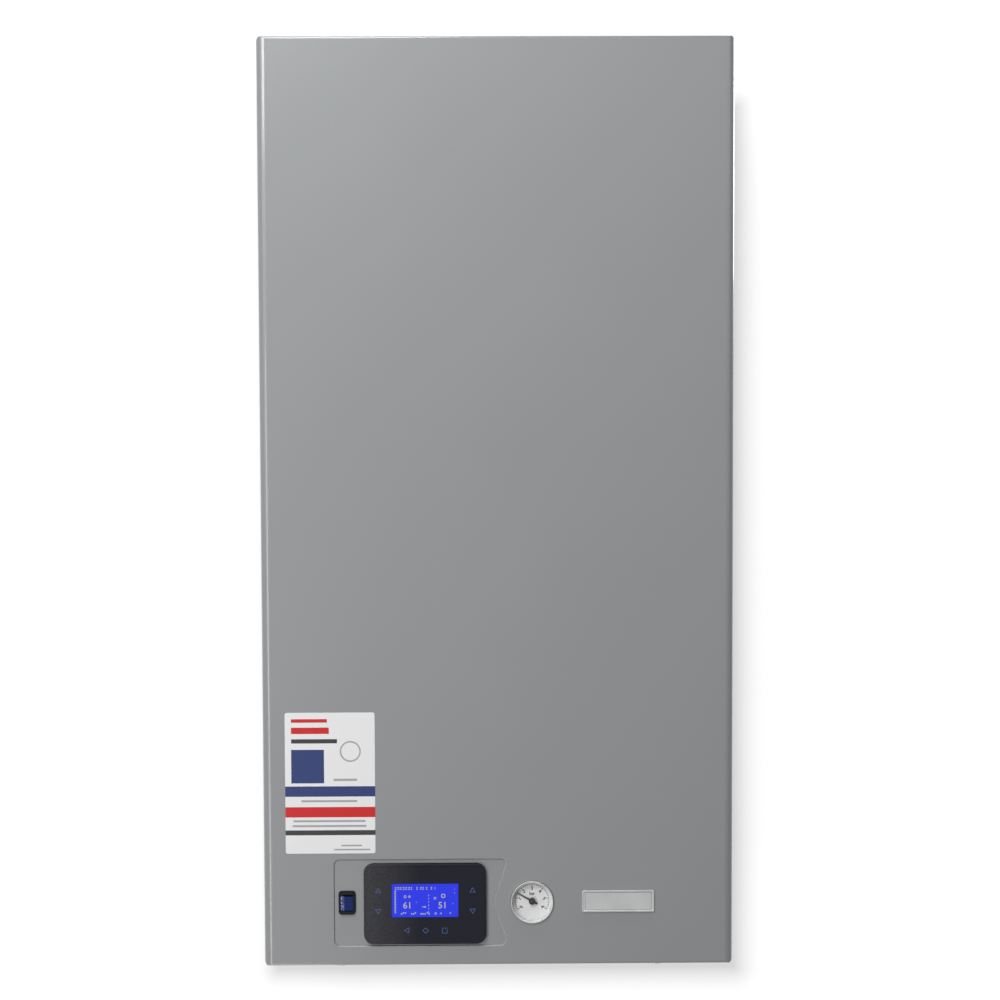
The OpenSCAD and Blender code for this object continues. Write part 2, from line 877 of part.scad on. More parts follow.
// Controls
module control_fascia() color("lightgray") on_base() difference() {
    x = chassis_x - sheet_t;
    union() {
        block([-x, fascia_y, fascia_bottom], [x, fascia_back_y, fascia_top]);
        block([-x, fascia_y, fascia_top - sheet_t], [x, fascia_y + fascia_fold, fascia_top]);
    }
    stand_y(fascia_y - cut, fascia_back_y + cut) {
        round_mid(plug_x, display_z, display_plug.x + 2 * display_slot_gap,
            display_plug.z + 2 * display_slot_gap, display_slot_gap);
        translate([rocker_x, control_z])
            square([switch_body_w, switch_body_h] + 2 * [seat_gap, seat_gap], center = true);
        translate([gauge_x, control_z]) circle(gauge_r - gauge_shoulder + seat_gap);
        translate([thermostat_x, control_z]) circle(thermostat_neck_r + seat_gap);
    }
}
module display_form(inset, y0, y1) stand_y(y0, y1)
    round_mid(display_x, display_z, display_w - 2 * inset, display_h - 2 * inset, display_r - inset);
module lcd_form(gap, y0, y1) stand_y(y0, y1) translate([display_x, display_z + lcd_rise])
    square([lcd_w + 2 * gap, lcd_h + 2 * gap], center = true);
module at_board_corners() for (x = [-1, 1]) for (z = [-1, 1])
    translate([display_x + x * (display_w / 2 - display_r), 0, display_z + z * (display_h / 2 - display_r)])
        children();
module display_housing() color("black") on_base() {
    difference() {
        display_form(0, display_front_y, fascia_y);
        display_form(display_rim, display_front_y - cut, glass_back_y);
        lcd_form(lcd_gap, glass_back_y - cut, pocket_y + cut);
        display_form(display_side_t, pocket_y, fascia_y + cut);
    }
    at_board_corners() rod_y(0, 0, pocket_y, board_y, board_boss_r);
}
module display_glass() color("black") on_base() difference() {
    display_form(display_rim + glass_gap, display_front_y, glass_back_y);
    lcd_form(lcd_gap, display_front_y - cut, glass_back_y + cut);
}
module lcd_panel() color("royalblue") on_base() lcd_form(0, display_front_y + lcd_inset, board_y);
module display_board() color("seagreen") on_base() {
    back = board_y + board_t;
    display_form(display_side_t + board_inset, board_y, back);
    block([plug_x - display_plug.x / 2, back, display_z - display_plug.z / 2],
        [plug_x + display_plug.x / 2, back + display_plug.y, display_z + display_plug.z / 2]);
    for (k = chip_shares) translate([display_x + k * display_w, back, display_z])
        block([-chip.x / 2, 0, -chip.z / 2], [chip.x / 2, chip.y, chip.z / 2]);
}
module rocker_housing() color("black") on_base() {
    body_end = fascia_y + switch_body_l;
    difference() {
        stand_y(rocker_front_y, fascia_y)
            round_mid(rocker_x, control_z, rocker_w, rocker_h, rocker_corner_r);
        stand_y(rocker_front_y - cut, rocker_pocket_y) translate([rocker_x, control_z])
            square([paddle_w + 2 * paddle_gap, rocker_pocket_h], center = true);
        rod_x(rocker_pivot_y, control_z, rocker_x - axle_half - seat_gap, rocker_x + axle_half + seat_gap,
            axle_r + run_gap);
    }
    stand_y(fascia_y, body_end) translate([rocker_x, control_z])
        square([switch_body_w, switch_body_h], center = true);
    for (i = [-1 : 1]) block([rocker_x - blade_w / 2, body_end, control_z + blade_gap * i - blade_t / 2],
        [rocker_x + blade_w / 2, body_end + blade_l, control_z + blade_gap * i + blade_t / 2]);
}
module rocker_button() color("navy") on_base()
    translate([rocker_x, rocker_pivot_y, control_z]) rotate([rocker_tilt, 0, 0]) {
        stand_x(-paddle_w / 2, paddle_w / 2) polygon([[-paddle_front, -paddle_h / 2],
            [paddle_dip - paddle_front, 0], [-paddle_front, paddle_h / 2],
            [paddle_back, paddle_h / 2 - paddle_taper], [paddle_back, paddle_taper - paddle_h / 2]]);
        rod_x(0, 0, -paddle_w / 2, paddle_w / 2, paddle_hub_r);
        rod_x(0, 0, -axle_half, axle_half, axle_r);
    }
module gauge_case() color("gainsboro") on_base() {
    difference() {
        union() {
            rod_y(gauge_x, control_z, gauge_front_y, fascia_y, gauge_r);
            rod_y(gauge_x, control_z, fascia_y, gauge_back_y, gauge_r - gauge_shoulder);
            rod_y(gauge_x, control_z, gauge_back_y, gauge_end_y, gauge_neck_r);
        }
        rod_y(gauge_x, control_z, gauge_front_y - cut, lens_back_y, gauge_r - gauge_ledge);
        rod_y(gauge_x, control_z, gauge_front_y, dial_floor_y, gauge_r - gauge_wall);
        rod_y(gauge_x, control_z, dial_floor_y - cut, needle_end_y + seat_gap, needle_shaft_r + run_gap);
    }
}
module gauge_dial() color("white") on_base() difference() {
    rod_y(gauge_x, control_z, dial_floor_y - dial_t, dial_floor_y, gauge_r - gauge_wall - lens_gap);
    rod_y(gauge_x, control_z, dial_floor_y - dial_t - cut, dial_floor_y + cut, dial_hole_r);
}
module gauge_lens() color("azure") on_base()
    rod_y(gauge_x, control_z, gauge_front_y + lens_inset, lens_back_y, gauge_r - gauge_ledge - lens_gap);
module gauge_needle() color("black") on_base() {
    rod_y(gauge_x, control_z, needle_back_y - needle_hub_t, needle_back_y, needle_hub_r);
    rod_y(gauge_x, control_z, needle_back_y - needle_t, needle_end_y, needle_shaft_r);
    translate([gauge_x, 0, control_z]) rotate([0, -needle_angle, 0])
        stand_y(needle_back_y - needle_t, needle_back_y) polygon([[-needle_tail, -needle_root_w],
            [needle_l, -needle_tip_w], [needle_l, needle_tip_w], [-needle_tail, needle_root_w]]);
}
module capillary_tubes() color("peru") on_base() {
    run([[gauge_x, gauge_end_y, control_z], [gauge_x, safety_y, control_z],
        [gauge_x, safety_y, safety_port_z - thin_pipe_r]], capillary_r, 0, capillary_bend_r);
    run([[thermostat_x, bulb_y, control_z + thermostat_h / 2], [thermostat_x, bulb_y, bulb_cross_z],
        [tray_step_x, bulb_y, bulb_cross_z], [tray_step_x, bulb_y, bulb_top_z],
        [pocket_x, bulb_y, bulb_top_z], [pocket_x, pocket_y_at, bulb_top_z],
        [pocket_x, pocket_y_at, heater_top + pocket_h]], capillary_r, 0, capillary_bend_r);
}
module thermostat_body() color("whitesmoke") on_base() difference() {
    union() {
        block([thermostat_x - thermostat_w / 2, fascia_back_y, control_z - thermostat_h / 2],
            [thermostat_x + thermostat_w / 2, fascia_back_y + thermostat_d, control_z + thermostat_h / 2]);
        rod_y(thermostat_x, control_z, fascia_y - thermostat_neck_l, fascia_back_y, thermostat_neck_r);
        translate([thermostat_x, fascia_y, control_z]) rotate([90, 0, 0])
            hex_z(0, 0, 0, thermostat_nut_t, thermostat_nut_af);
    }
    rod_y(thermostat_x, control_z, fascia_y - thermostat_neck_l - cut,
        button_end_y + button_travel + seat_gap, button_r + button_gap);
}
module reset_button() color("firebrick") on_base()
    rod_y(thermostat_x, control_z, button_end_y - button_l, button_end_y, button_r);

// Electrical tray and what it carries
module electrical_tray() color("lightgray") on_base() {
    stand_y(tray_front_y, tray_y) polygon([[tray_left, tray_step_z], [tray_step_x, tray_step_z],
        [tray_step_x, tray_bottom], [tray_right, tray_bottom], [tray_right, tray_top],
        [tray_left, tray_top]]);
    block([tray_right - sheet_t, tray_front_y, tray_bottom], [tray_right, back_front_y, tray_top]);
    block([tray_left, tray_front_y, tray_step_z], [tray_left + sheet_t, back_front_y, tray_top]);
    block([tray_left - tray_foot_w, back_front_y - sheet_t, tray_step_z],
        [tray_left + sheet_t, back_front_y, tray_top]);
    for (x = [board_x + pillar_inset, board_x + board_w - pillar_inset])
        for (z = [board_z - board_h / 2 + pillar_inset, board_z + board_h / 2 - pillar_inset])
            rod_y(x, z, tray_front_y - pillar_h, tray_front_y, pillar_r);
}
module main_board() color("seagreen") on_base()
    block([board_x, board_front_y, board_z - board_h / 2],
        [board_x + board_w, board_front_y + board_t, board_z + board_h / 2]);
// Puts a thing on the front of the main board, at shares of the board from its middle
module on_board(x_share, z_share)
    translate([board_x + board_w * (half_share + x_share), board_front_y, board_z + board_h * z_share])
        children();
module upright(size) block([-size.x / 2, -size.y, -size.z / 2], [size.x / 2, 0, size.z / 2]);
module board_components() color("darkslategray") on_base() {
    for (k = relay_shares) on_board(k, relay_row_share) upright(relay);
    on_board(transformer_share, middle_row_share) upright(transformer);
    on_board(main_chip_share, middle_row_share) upright(main_chip);
    for (k = plug_shares) on_board(k, plug_row_share) upright(board_plug);
    for (k = capacitor_shares) on_board(k, middle_row_share) rod_y(0, 0, -capacitor_l, 0, capacitor_r);
}
module din_rail() color("gainsboro") on_base() for (s = [-1, 1]) {
    core = din_core / 2;
    edge = din_h / 2;
    block([din_left, tray_front_y - din_t, din_z - core], [din_right, tray_front_y, din_z + core]);
    block([din_left, din_front_y, din_z + (s > 0 ? core - din_t : -core)],
        [din_right, tray_front_y, din_z + (s > 0 ? core : din_t - core)]);
    block([din_left, din_front_y, din_z + (s > 0 ? core - din_t : -edge)],
        [din_right, din_front_y + din_t, din_z + (s > 0 ? edge : din_t - core)]);
}
module contactor() color("dimgray") on_base() difference() {
    face_y = din_front_y - contactor_d;
    nose_y = face_y - contactor_nose_d;
    union() {
        block([contactor_x - contactor_w / 2, face_y, din_z - contactor_h / 2],
            [contactor_x + contactor_w / 2, din_front_y, din_z + contactor_h / 2]);
        block([contactor_x - contactor_w / 2, nose_y, din_z - contactor_nose_h / 2],
            [contactor_x + contactor_w / 2, din_front_y, din_z + contactor_nose_h / 2]);
    }
    stand_y(nose_y - cut, plunger_end_y + plunger_travel + seat_gap) translate([contactor_x, din_z])
        square([plunger_w, plunger_h] + 2 * [plunger_gap, plunger_gap], center = true);
    for (i = [-1 : 1]) for (s = [-1, 1])
        rod_y(contactor_x + pole_gap * i, din_z + s * (contactor_h / 2 - pole_inset), face_y - cut,
            face_y + pole_hole_depth, pole_hole_r);
}
module contactor_plunger() color("orangered") on_base()
    stand_y(plunger_end_y - plunger_depth - plunger_out, plunger_end_y) translate([contactor_x, din_z])
        square([plunger_w, plunger_h], center = true);
module terminal_block() color("beige") on_base() difference() {
    face_y = din_front_y - terminal_d;
    left = terminal_x - terminal_pitch * terminal_count / 2;
    block([left, face_y, din_z - terminal_h / 2],
        [left + terminal_pitch * terminal_count, din_front_y, din_z + terminal_h / 2]);
    for (i = [1 : terminal_count - 1])
        block([left + terminal_pitch * i - terminal_groove / 2, face_y - cut, din_z - terminal_h],
            [left + terminal_pitch * i + terminal_groove / 2, face_y + terminal_groove, din_z + terminal_h]);
    for (i = [0 : terminal_count - 1]) for (s = [-1, 1])
        rod_y(left + terminal_pitch * (i + half_share), din_z + s * (terminal_h / 2 - terminal_inset),
            face_y - cut, face_y + terminal_hole_depth, terminal_hole_r);
}
module cable_glands() color("dimgray") on_base() for (i = [0, 1]) {
    x = gland_xs[i];
    k = gland_shares[i];
    difference() {
        union() {
            rod_z(x, gland_y, gland_bottom, gland_hex_z, gland_dome_r * k);
            hex_z(x, gland_y, gland_hex_z, plate_z, gland_flats * k);
            rod_z(x, gland_y, gland_bottom, gland_top, gland_body_r * k);
            hex_z(x, gland_y, plate_top, plate_top + gland_nut_h, gland_nut_flats * k);
        }
        rod_z(x, gland_y, gland_bottom - cut, gland_top + cut, gland_bore_r * k);
    }
}
module wire(points) run(points, wire_r, 0, wire_bend_r);
// Mains wire from the gland to the bottom of a terminal
module mains_wire(i) wire([[gland_xs[0] + mains_gap * (i - 1), gland_y, gland_top],
    [gland_xs[0] + mains_gap * (i - 1), gland_y, mains_zs[i]], [terminal_xs[i], gland_y, mains_zs[i]],
    [terminal_xs[i], terminal_y, mains_zs[i]], [terminal_xs[i], terminal_y, din_z - terminal_h / 2]]);
module live_wires() color("saddlebrown") on_base() {
    mains_wire(0);
    for (i = [0 : 2]) {
        x = contactor_x + pole_gap * (1 - i);
        wire([[terminal_xs[3 + i], terminal_y, din_z - terminal_h / 2],
            [terminal_xs[3 + i], terminal_y, feed_zs[2 - i]], [x, terminal_y, feed_zs[2 - i]],
            [x, pole_y, feed_zs[2 - i]], [x, pole_y, din_z - contactor_h / 2]]);
    }
    for (i = [0 : 2]) {
        x = contactor_x + pole_gap * (i - 1);
        to = live_studs[i];
        wire([[x, pole_y, din_z + contactor_h / 2], [x, pole_y, live_zs[i]], [to.x, pole_y, live_zs[i]],
            [to.x, to.y, live_zs[i]], [to.x, to.y, stud_top]]);
    }
}
module neutral_wires() color("royalblue") on_base() {
    a = neutral_studs[0];
    b = neutral_studs[1];
    c = neutral_studs[2];
    mains_wire(1);
    wire([[terminal_xs[1], terminal_y, din_z + terminal_h / 2], [terminal_xs[1], terminal_y, neutral_z],
        [a.x, terminal_y, neutral_z], [a.x, a.y, neutral_z], [a.x, a.y, stud_top]]);
    wire([[b.x, b.y, stud_top], [b.x, b.y, jumper_z], [a.x, b.y, jumper_z], [a.x, a.y, jumper_z]]);
    wire([[a.x, a.y, jumper_z - jumper_step], [c.x, c.y, jumper_z - jumper_step], [c.x, c.y, stud_top]]);
}
module earth_wires() color("yellowgreen") on_base() {
    mains_wire(2);
    wire([[terminal_xs[2], terminal_y, din_z + terminal_h / 2], [terminal_xs[2], terminal_y, earth_z],
        [earth_x, terminal_y, earth_z], [earth_x, tray_front_y, earth_z]]);
}
module display_cable() color("gray") on_base()
    run([[plug_x, board_y + board_t + display_plug.y, display_z], [plug_x, cable_y, display_z],
        [plug_x, cable_y, cable_cross_z], [cable_x, cable_y, cable_cross_z], [cable_x, cable_y, cable_top_z],
        [cable_x, board_front_y - cable_r, cable_top_z], [cable_x, board_front_y - cable_r,
        board_z + board_h * plug_row_share - board_plug.z / 2]], cable_r, 0, cable_bend_r);

// Heating vessel
module heater_vessel() color("lightgray") on_base() {
    lid_z = heater_top - heater_flange_t;
    floor_z = heater_bottom + heater_wall;
    difference() {
        union() {
            rod_z(heater_x, heater_y, heater_bottom, heater_top, heater_r);
            for (x = [outlet_x, inlet_x]) rod_z(x, row_y, heater_bottom - boss_h, floor_z, boss_r);
            rod_z(pocket_x, pocket_y_at, lid_z, heater_top + pocket_h, pocket_r);
        }
        rod_z(heater_x, heater_y, floor_z, lid_z, heater_r - heater_wall);
        for (x = [outlet_x, inlet_x])
            rod_z(x, row_y, heater_bottom - boss_h - cut, floor_z + cut, pipe_r - pipe_wall);
        for (p = element_places)
            rod_z(p.x, p.y, lid_z - cut, heater_top + cut, element_plug_r + element_plug_gap);
        rod_z(heater_x, heater_y, lid_z - cut, heater_top + cut, vent_neck_r + element_plug_gap);
    }
}
module heater_jacket() color("slategray") on_base() difference() {
    bottom = heater_bottom - jacket_end;
    top = heater_top + jacket_end;
    rod_z(heater_x, heater_y, bottom, top, jacket_r);
    rod_z(heater_x, heater_y, bottom - cut, top + cut, heater_r + jacket_gap);
}
module heating_elements() color("goldenrod") on_base() for (p = element_places) {
    rod_z(p.x, p.y, heater_top - heater_flange_t, heater_top, element_plug_r);
    hex_z(p.x, p.y, heater_top, heater_top + element_head_h, element_af);
    run([for (q = [[-1, 0], [-1, 1], [1, 1], [1, 0]]) [p.x + q[0] * stud_gap / 2, p.y,
        q[1] > 0 ? heater_bottom + element_rod_end : heater_top - heater_flange_t]],
        element_rod_r, 0, element_bend_r);
    for (s = [-1, 1]) {
        rod_z(p.x + s * stud_gap / 2, p.y, heater_top + element_head_h,
            heater_top + element_head_h + stud_insulator_h, stud_insulator_r);
        rod_z(p.x + s * stud_gap / 2, p.y, heater_top + element_head_h, stud_top, stud_r);
    }
}
module heater_bracket() color("gainsboro") on_base()
    for (z = [heater_bottom + band_inset, heater_top - band_inset]) difference() {
        union() {
            rod_z(heater_x, heater_y, z - band_w / 2, z + band_w / 2, jacket_r + band_t);
            for (s = [-1, 1]) {
                x = heater_x + s * band_leg_x;
                block([x - band_leg_t / 2, heater_y + heater_r, z - band_w / 2],
                    [x + band_leg_t / 2, back_front_y, z + band_w / 2]);
                block([x - band_foot_w / 2, back_front_y - sheet_t, z - band_w / 2],
                    [x + band_foot_w / 2, back_front_y, z + band_w / 2]);
            }
        }
        rod_z(heater_x, heater_y, z - band_w, z + band_w, jacket_r);
    }
module air_vent_body() color("goldenrod") on_base() {
    rod_z(heater_x, heater_y, heater_top - heater_flange_t, heater_top + vent_neck_h, vent_neck_r);
    hex_z(heater_x, heater_y, heater_top, heater_top + vent_neck_h / 2, vent_flats);
    rod_z(heater_x, heater_y, heater_top + vent_neck_h, vent_top, vent_r);
    rod_z(heater_x, heater_y, vent_top, vent_top + vent_pin_l, vent_pin_r);
}
module air_vent_cap() color("black") on_base() difference() {
    rod_z(heater_x, heater_y, vent_top + run_gap, vent_top + vent_cap_h, vent_cap_r);
    rod_z(heater_x, heater_y, vent_top - cut, vent_top + vent_pin_l + seat_gap, vent_pin_r + run_gap);
}

// Expansion vessel
module tank_profile(inset) {
    r = tank_r - tank_rim_w - inset;
    f = tank_fillet - inset;
    translate([0, inset]) square([r - f, tank_d - 2 * inset]);
    translate([0, tank_fillet]) square([r, tank_d - 2 * tank_fillet]);
    for (d = [tank_fillet, tank_d - tank_fillet]) translate([r - f, d]) circle(f);
}
module expansion_vessel() color("firebrick") on_base() {
    shell_z = tank_z - tank_r + tank_rim_w;
    difference() {
        union() {
            turn_y(tank_x, back_front_y, tank_z) tank_profile(0);
            rod_y(tank_x, tank_z, tank_mid_y - tank_rim_t / 2, tank_mid_y + tank_rim_t / 2, tank_r);
            rod_z(tank_x, tank_mid_y, shell_z - tank_port_l, shell_z + tank_port_l / 2, tank_port_r);
            rod_y(tank_x, tank_z - valve_stem_drop, back_front_y - tank_d - valve_stem_l, tank_mid_y,
                valve_stem_r);
        }
        turn_y(tank_x, back_front_y, tank_z) tank_profile(tank_wall);
        rod_z(tank_x, tank_mid_y, shell_z - tank_port_l - cut, shell_z + tank_port_l, tank_port_bore_r);
    }
}
module vessel_diaphragm() color("dimgray") on_base() {
    y = back_front_y - tank_d + tank_fillet;
    rod_y(tank_x, tank_z, y, y + diaphragm_t, tank_r - tank_rim_w - tank_wall);
}
module vessel_hose() color("silver") on_base() {
    top = tank_z - tank_r + tank_rim_w - tank_port_l;
    end = pump_x + manifold_r + branch_reach;
    run([[tank_x, tank_mid_y, top], [tank_x, tank_mid_y, top - hose_drop],
        [hose_x, tank_mid_y, top - hose_drop], [hose_x, tank_mid_y, hose_port_z],
        [hose_x, row_y, hose_port_z], [end, row_y, hose_port_z]], hose_r, hose_wall, elbow_r);
    difference() {
        union() {
            hex_z(tank_x, tank_mid_y, top - hose_nut_h, top, hose_nut_af);
            translate([end, row_y, hose_port_z]) rotate([0, 90, 0]) hex_z(0, 0, 0, hose_nut_h, hose_nut_af);
        }
        rod_z(tank_x, tank_mid_y, top - hose_nut_h - cut, top + cut, hose_r - hose_wall);
        rod_x(row_y, hose_port_z, end - cut, end + hose_nut_h + cut, hose_r - hose_wall);
    }
}

// Pump
module pump_volute() color("dimgray") on_base() difference() {
    union() {
        rod_y(pump_x, pump_z, volute_front_y, volute_back_y, volute_r);
        rod_z(pump_x, row_y, pump_bottom, pump_top, pump_neck_r);
        hex_z(pump_x, row_y, pump_bottom, pump_bottom + pump_nut_h, pump_nut_af);
        hex_z(pump_x, row_y, pump_top - pump_nut_h, pump_top, pump_nut_af);
    }
    rod_y(pump_x, pump_z, volute_front_y + volute_wall, volute_back_y - volute_wall, volute_r - volute_wall);
    rod_z(pump_x, row_y, pump_bottom - cut, pump_top + cut, pump_bore_r);
    rod_y(pump_x, pump_z, volute_front_y - cut, volute_front_y + volute_wall + cut, shaft_hole_r);
    rod_y(pump_x, pump_z, volute_front_y, volute_back_y - volute_wall + shaft_seat + seat_gap,
        shaft_r + run_gap);
}
module pump_motor() color("darkred") on_base() difference() {
    union() {
        rod_y(pump_x, pump_z, motor_front_y, volute_front_y, motor_r);
        rod_y(pump_x, pump_z, motor_front_y - motor_cap_l, motor_front_y, motor_cap_r);
        block([pump_x, volute_front_y - motor_box_l, pump_z - motor_box_h / 2],
            [pump_x + motor_r + motor_box_w, volute_front_y - motor_box_inset, pump_z + motor_box_h / 2]);
    }
    rod_y(pump_x, pump_z, motor_front_y + motor_end_wall, volute_front_y + cut, rotor_r + rotor_gap);
    rod_y(pump_x, pump_z, motor_front_y + motor_end_wall - shaft_seat - seat_gap, volute_front_y,
        shaft_r + run_gap);
}
module pump_rotor() color("silver") on_base() {
    cavity_y = motor_front_y + motor_end_wall;
    disc_y0 = volute_front_y + volute_wall + impeller_gap;
    rod_y(pump_x, pump_z, cavity_y - shaft_seat, volute_back_y - volute_wall + shaft_seat, shaft_r);
    rod_y(pump_x, pump_z, cavity_y + impeller_gap / 2, volute_front_y - impeller_gap / 2, rotor_r);
    rod_y(pump_x, pump_z, disc_y0, disc_y0 + impeller_t, impeller_r);
    rod_y(pump_x, pump_z, disc_y0, disc_y0 + impeller_w, impeller_hub_r);
    translate([pump_x, 0, pump_z]) for (i = [0 : vane_count - 1]) rotate([0, 360 * i / vane_count, 0])
        block([0, disc_y0, -vane_t / 2], [impeller_r, disc_y0 + impeller_w, vane_t / 2]);
}

// Plate heat exchanger
module exchanger_form(z, h, inset) translate([0, 0, z]) linear_extrude(h)
    round_mid(0, exchanger_y, exchanger_w - 2 * inset, exchanger_d - 2 * inset, exchanger_plate_r - inset);
module at_exchanger_ports() for (x = [-exchanger_port_x, exchanger_port_x])
    for (y = [row_y, exchanger_rear_y]) translate([x, y, exchanger_z]) children();
module plate_exchanger() color("silver") on_base() difference() {
    pitch = (exchanger_h - 2 * exchanger_end_t) / exchanger_plates;
    union() {
        exchanger_form(exchanger_z, exchanger_h, exchanger_groove);
        exchanger_form(exchanger_z, exchanger_end_t, 0);
        exchanger_form(exchanger_z + exchanger_h - exchanger_end_t, exchanger_end_t, 0);
        for (i = [0 : exchanger_plates - 1])
            exchanger_form(exchanger_z + exchanger_end_t + pitch * (i + half_share), pitch / 2, 0);
        at_exchanger_ports() rod_z(0, 0, -exchanger_port_h, 0, exchanger_port_r);
    }
    at_exchanger_ports() rod_z(0, 0, -exchanger_port_h - cut, exchanger_bore_l, exchanger_bore_r);
}

// Diverter valve
module diverter_body() color("goldenrod") on_base() difference() {
    union() {
        rod_z(diverter_x, row_y, diverter_bottom, diverter_top, diverter_r);
        rod_y(diverter_x, diverter_z, diverter_bonnet_y, diverter_rear_y, diverter_bonnet_r);
        rod_y(diverter_x, diverter_z, row_y, diverter_port_y, diverter_port_r);
        hex_z(diverter_x, row_y, diverter_bottom, diverter_bottom + diverter_nut_h, heating_tail_af);
        hex_z(diverter_x, row_y, diverter_top - diverter_nut_h, diverter_top, heating_tail_af);
    }
    rod_z(diverter_x, row_y, diverter_bottom - cut, diverter_top + cut, pipe_r - pipe_wall);
    rod_y(diverter_x, diverter_z, diverter_bonnet_y - cut, diverter_rear_y - diverter_wall,
        diverter_chamber_r);
    rod_y(diverter_x, diverter_z, row_y, diverter_port_y + cut, pipe_r - pipe_wall);
}
module diverter_motor() color("whitesmoke") on_base() difference() {
    front = diverter_bonnet_y - diverter_motor_d;
    stand_y(front, diverter_bonnet_y) round_mid(diverter_x, diverter_z, diverter_motor_w, diverter_motor_h,
        diverter_motor_r);
    rod_y(diverter_x, diverter_z, diverter_bonnet_y - stem_motor_depth - seat_gap, diverter_bonnet_y + cut,
        stem_r + run_gap);
}
module diverter_stem() color("silver") on_base() {
    rod_y(diverter_x, diverter_z, diverter_bonnet_y - stem_motor_depth, stem_tip_y, stem_r);
    rod_y(diverter_x, diverter_z, disc_y, disc_y + stem_disc_t, stem_disc_r);
}

// Safety valve
module safety_valve() color("goldenrod") on_base() difference() {
    union() {
        rod_z(safety_x, safety_y, safety_bottom, safety_top, safety_r);
        rod_x(safety_y, safety_port_z, safety_x, safety_x + safety_port_l, safety_port_r);
        rod_y(safety_x, safety_port_z, bonnet_y, safety_y, bonnet_r);
    }
    rod_z(safety_x, safety_y, safety_bottom - cut, safety_top - safety_lid, water_bore_r);
    rod_x(safety_y, safety_port_z, safety_x, safety_x + safety_port_l + cut, water_bore_r);
    rod_y(safety_x, safety_port_z, bonnet_y - cut, bonnet_y + safety_pin_l + seat_gap,
        safety_pin_r + run_gap);
}
module ribbed_knob(r, l) {
    cylinder(r = r, h = l);
    for (i = [0 : knob_ribs - 1]) rotate(360 * i / knob_ribs) translate([r, 0, 0])
        cylinder(r = knob_rib_r, h = l);
}
module safety_knob() color("red") on_base() {
    translate([safety_x, bonnet_y - seat_gap, safety_port_z]) rotate([90, 0, 0])
        ribbed_knob(safety_knob_r, safety_knob_l);
    rod_y(safety_x, safety_port_z, bonnet_y - safety_knob_l, bonnet_y + safety_pin_l, safety_pin_r);
}

// Flow sensor
module spider(z) {
    rod_z(sensor_x, row_y, z, z + spider_t, spider_hub_r);
    reach = (sensor_chamber_r + sensor_r) / 2;
    for (a = [0, quarter]) translate([sensor_x, row_y, z]) rotate(a)
        block([-reach, -spider_w / 2, 0], [reach, spider_w / 2, spider_t]);
}
module flow_sensor() color("goldenrod") on_base() {
    bottom = sensor_bottom + sensor_lip;
    top = sensor_top - sensor_lip;
    difference() {
        union() {
            difference() {
                rod_z(sensor_x, row_y, sensor_bottom, sensor_top, sensor_r);
                rod_z(sensor_x, row_y, bottom, top, sensor_chamber_r);
                rod_z(sensor_x, row_y, sensor_bottom - cut, sensor_top + cut, water_bore_r);
            }
            spider(bottom + spider_inset);
            spider(top - spider_inset - spider_t);
        }
        rod_z(sensor_x, row_y, bottom, top, turbine_shaft_r + run_gap);
    }
    block([sensor_x - sensor_box_w / 2, row_y - sensor_r - sensor_box_d, turbine_mid_z - sensor_box_h / 2],
        [sensor_x + sensor_box_w / 2, row_y - sensor_r + sensor_box_seat, turbine_mid_z + sensor_box_h / 2]);
}
module flow_turbine() color("white") on_base() {
    reach = (sensor_top - sensor_bottom) / 2 - sensor_lip - spider_inset - shaft_inset;
    rod_z(sensor_x, row_y, turbine_mid_z - reach, turbine_mid_z + reach, turbine_shaft_r);
    rod_z(sensor_x, row_y, turbine_mid_z - turbine_h / 2, turbine_mid_z + turbine_h / 2, turbine_hub_r);
    translate([sensor_x, row_y, turbine_mid_z - turbine_h / 2])
        for (i = [0 : turbine_blades - 1]) rotate(360 * i / turbine_blades)
            block([0, -blade_thickness / 2, 0], [turbine_r, blade_thickness / 2, turbine_h]);
}

// Filling valve between the cold water and the heating return
module fill_valve() color("goldenrod") on_base() difference() {
    union() {
        rod_x(row_y, fill_z, cold_branch_end, return_branch_end, fill_body_r);
        rod_z(fill_x, row_y, fill_stem_end, fill_z, fill_stem_r);
    }
    rod_x(row_y, fill_z, cold_branch_end - cut, return_branch_end + cut, fill_bore_r);
    rod_z(fill_x, row_y, fill_stem_end - cut, fill_knob_top + fill_pin_l + seat_gap, fill_pin_r + run_gap);
}
module fill_knob() color("mediumblue") on_base() {
    translate([fill_x, row_y, fill_knob_top - fill_knob_h]) ribbed_knob(fill_knob_r, fill_knob_h);
    rod_z(fill_x, row_y, fill_knob_top - fill_pin_l, fill_knob_top + fill_pin_l, fill_pin_r);
}

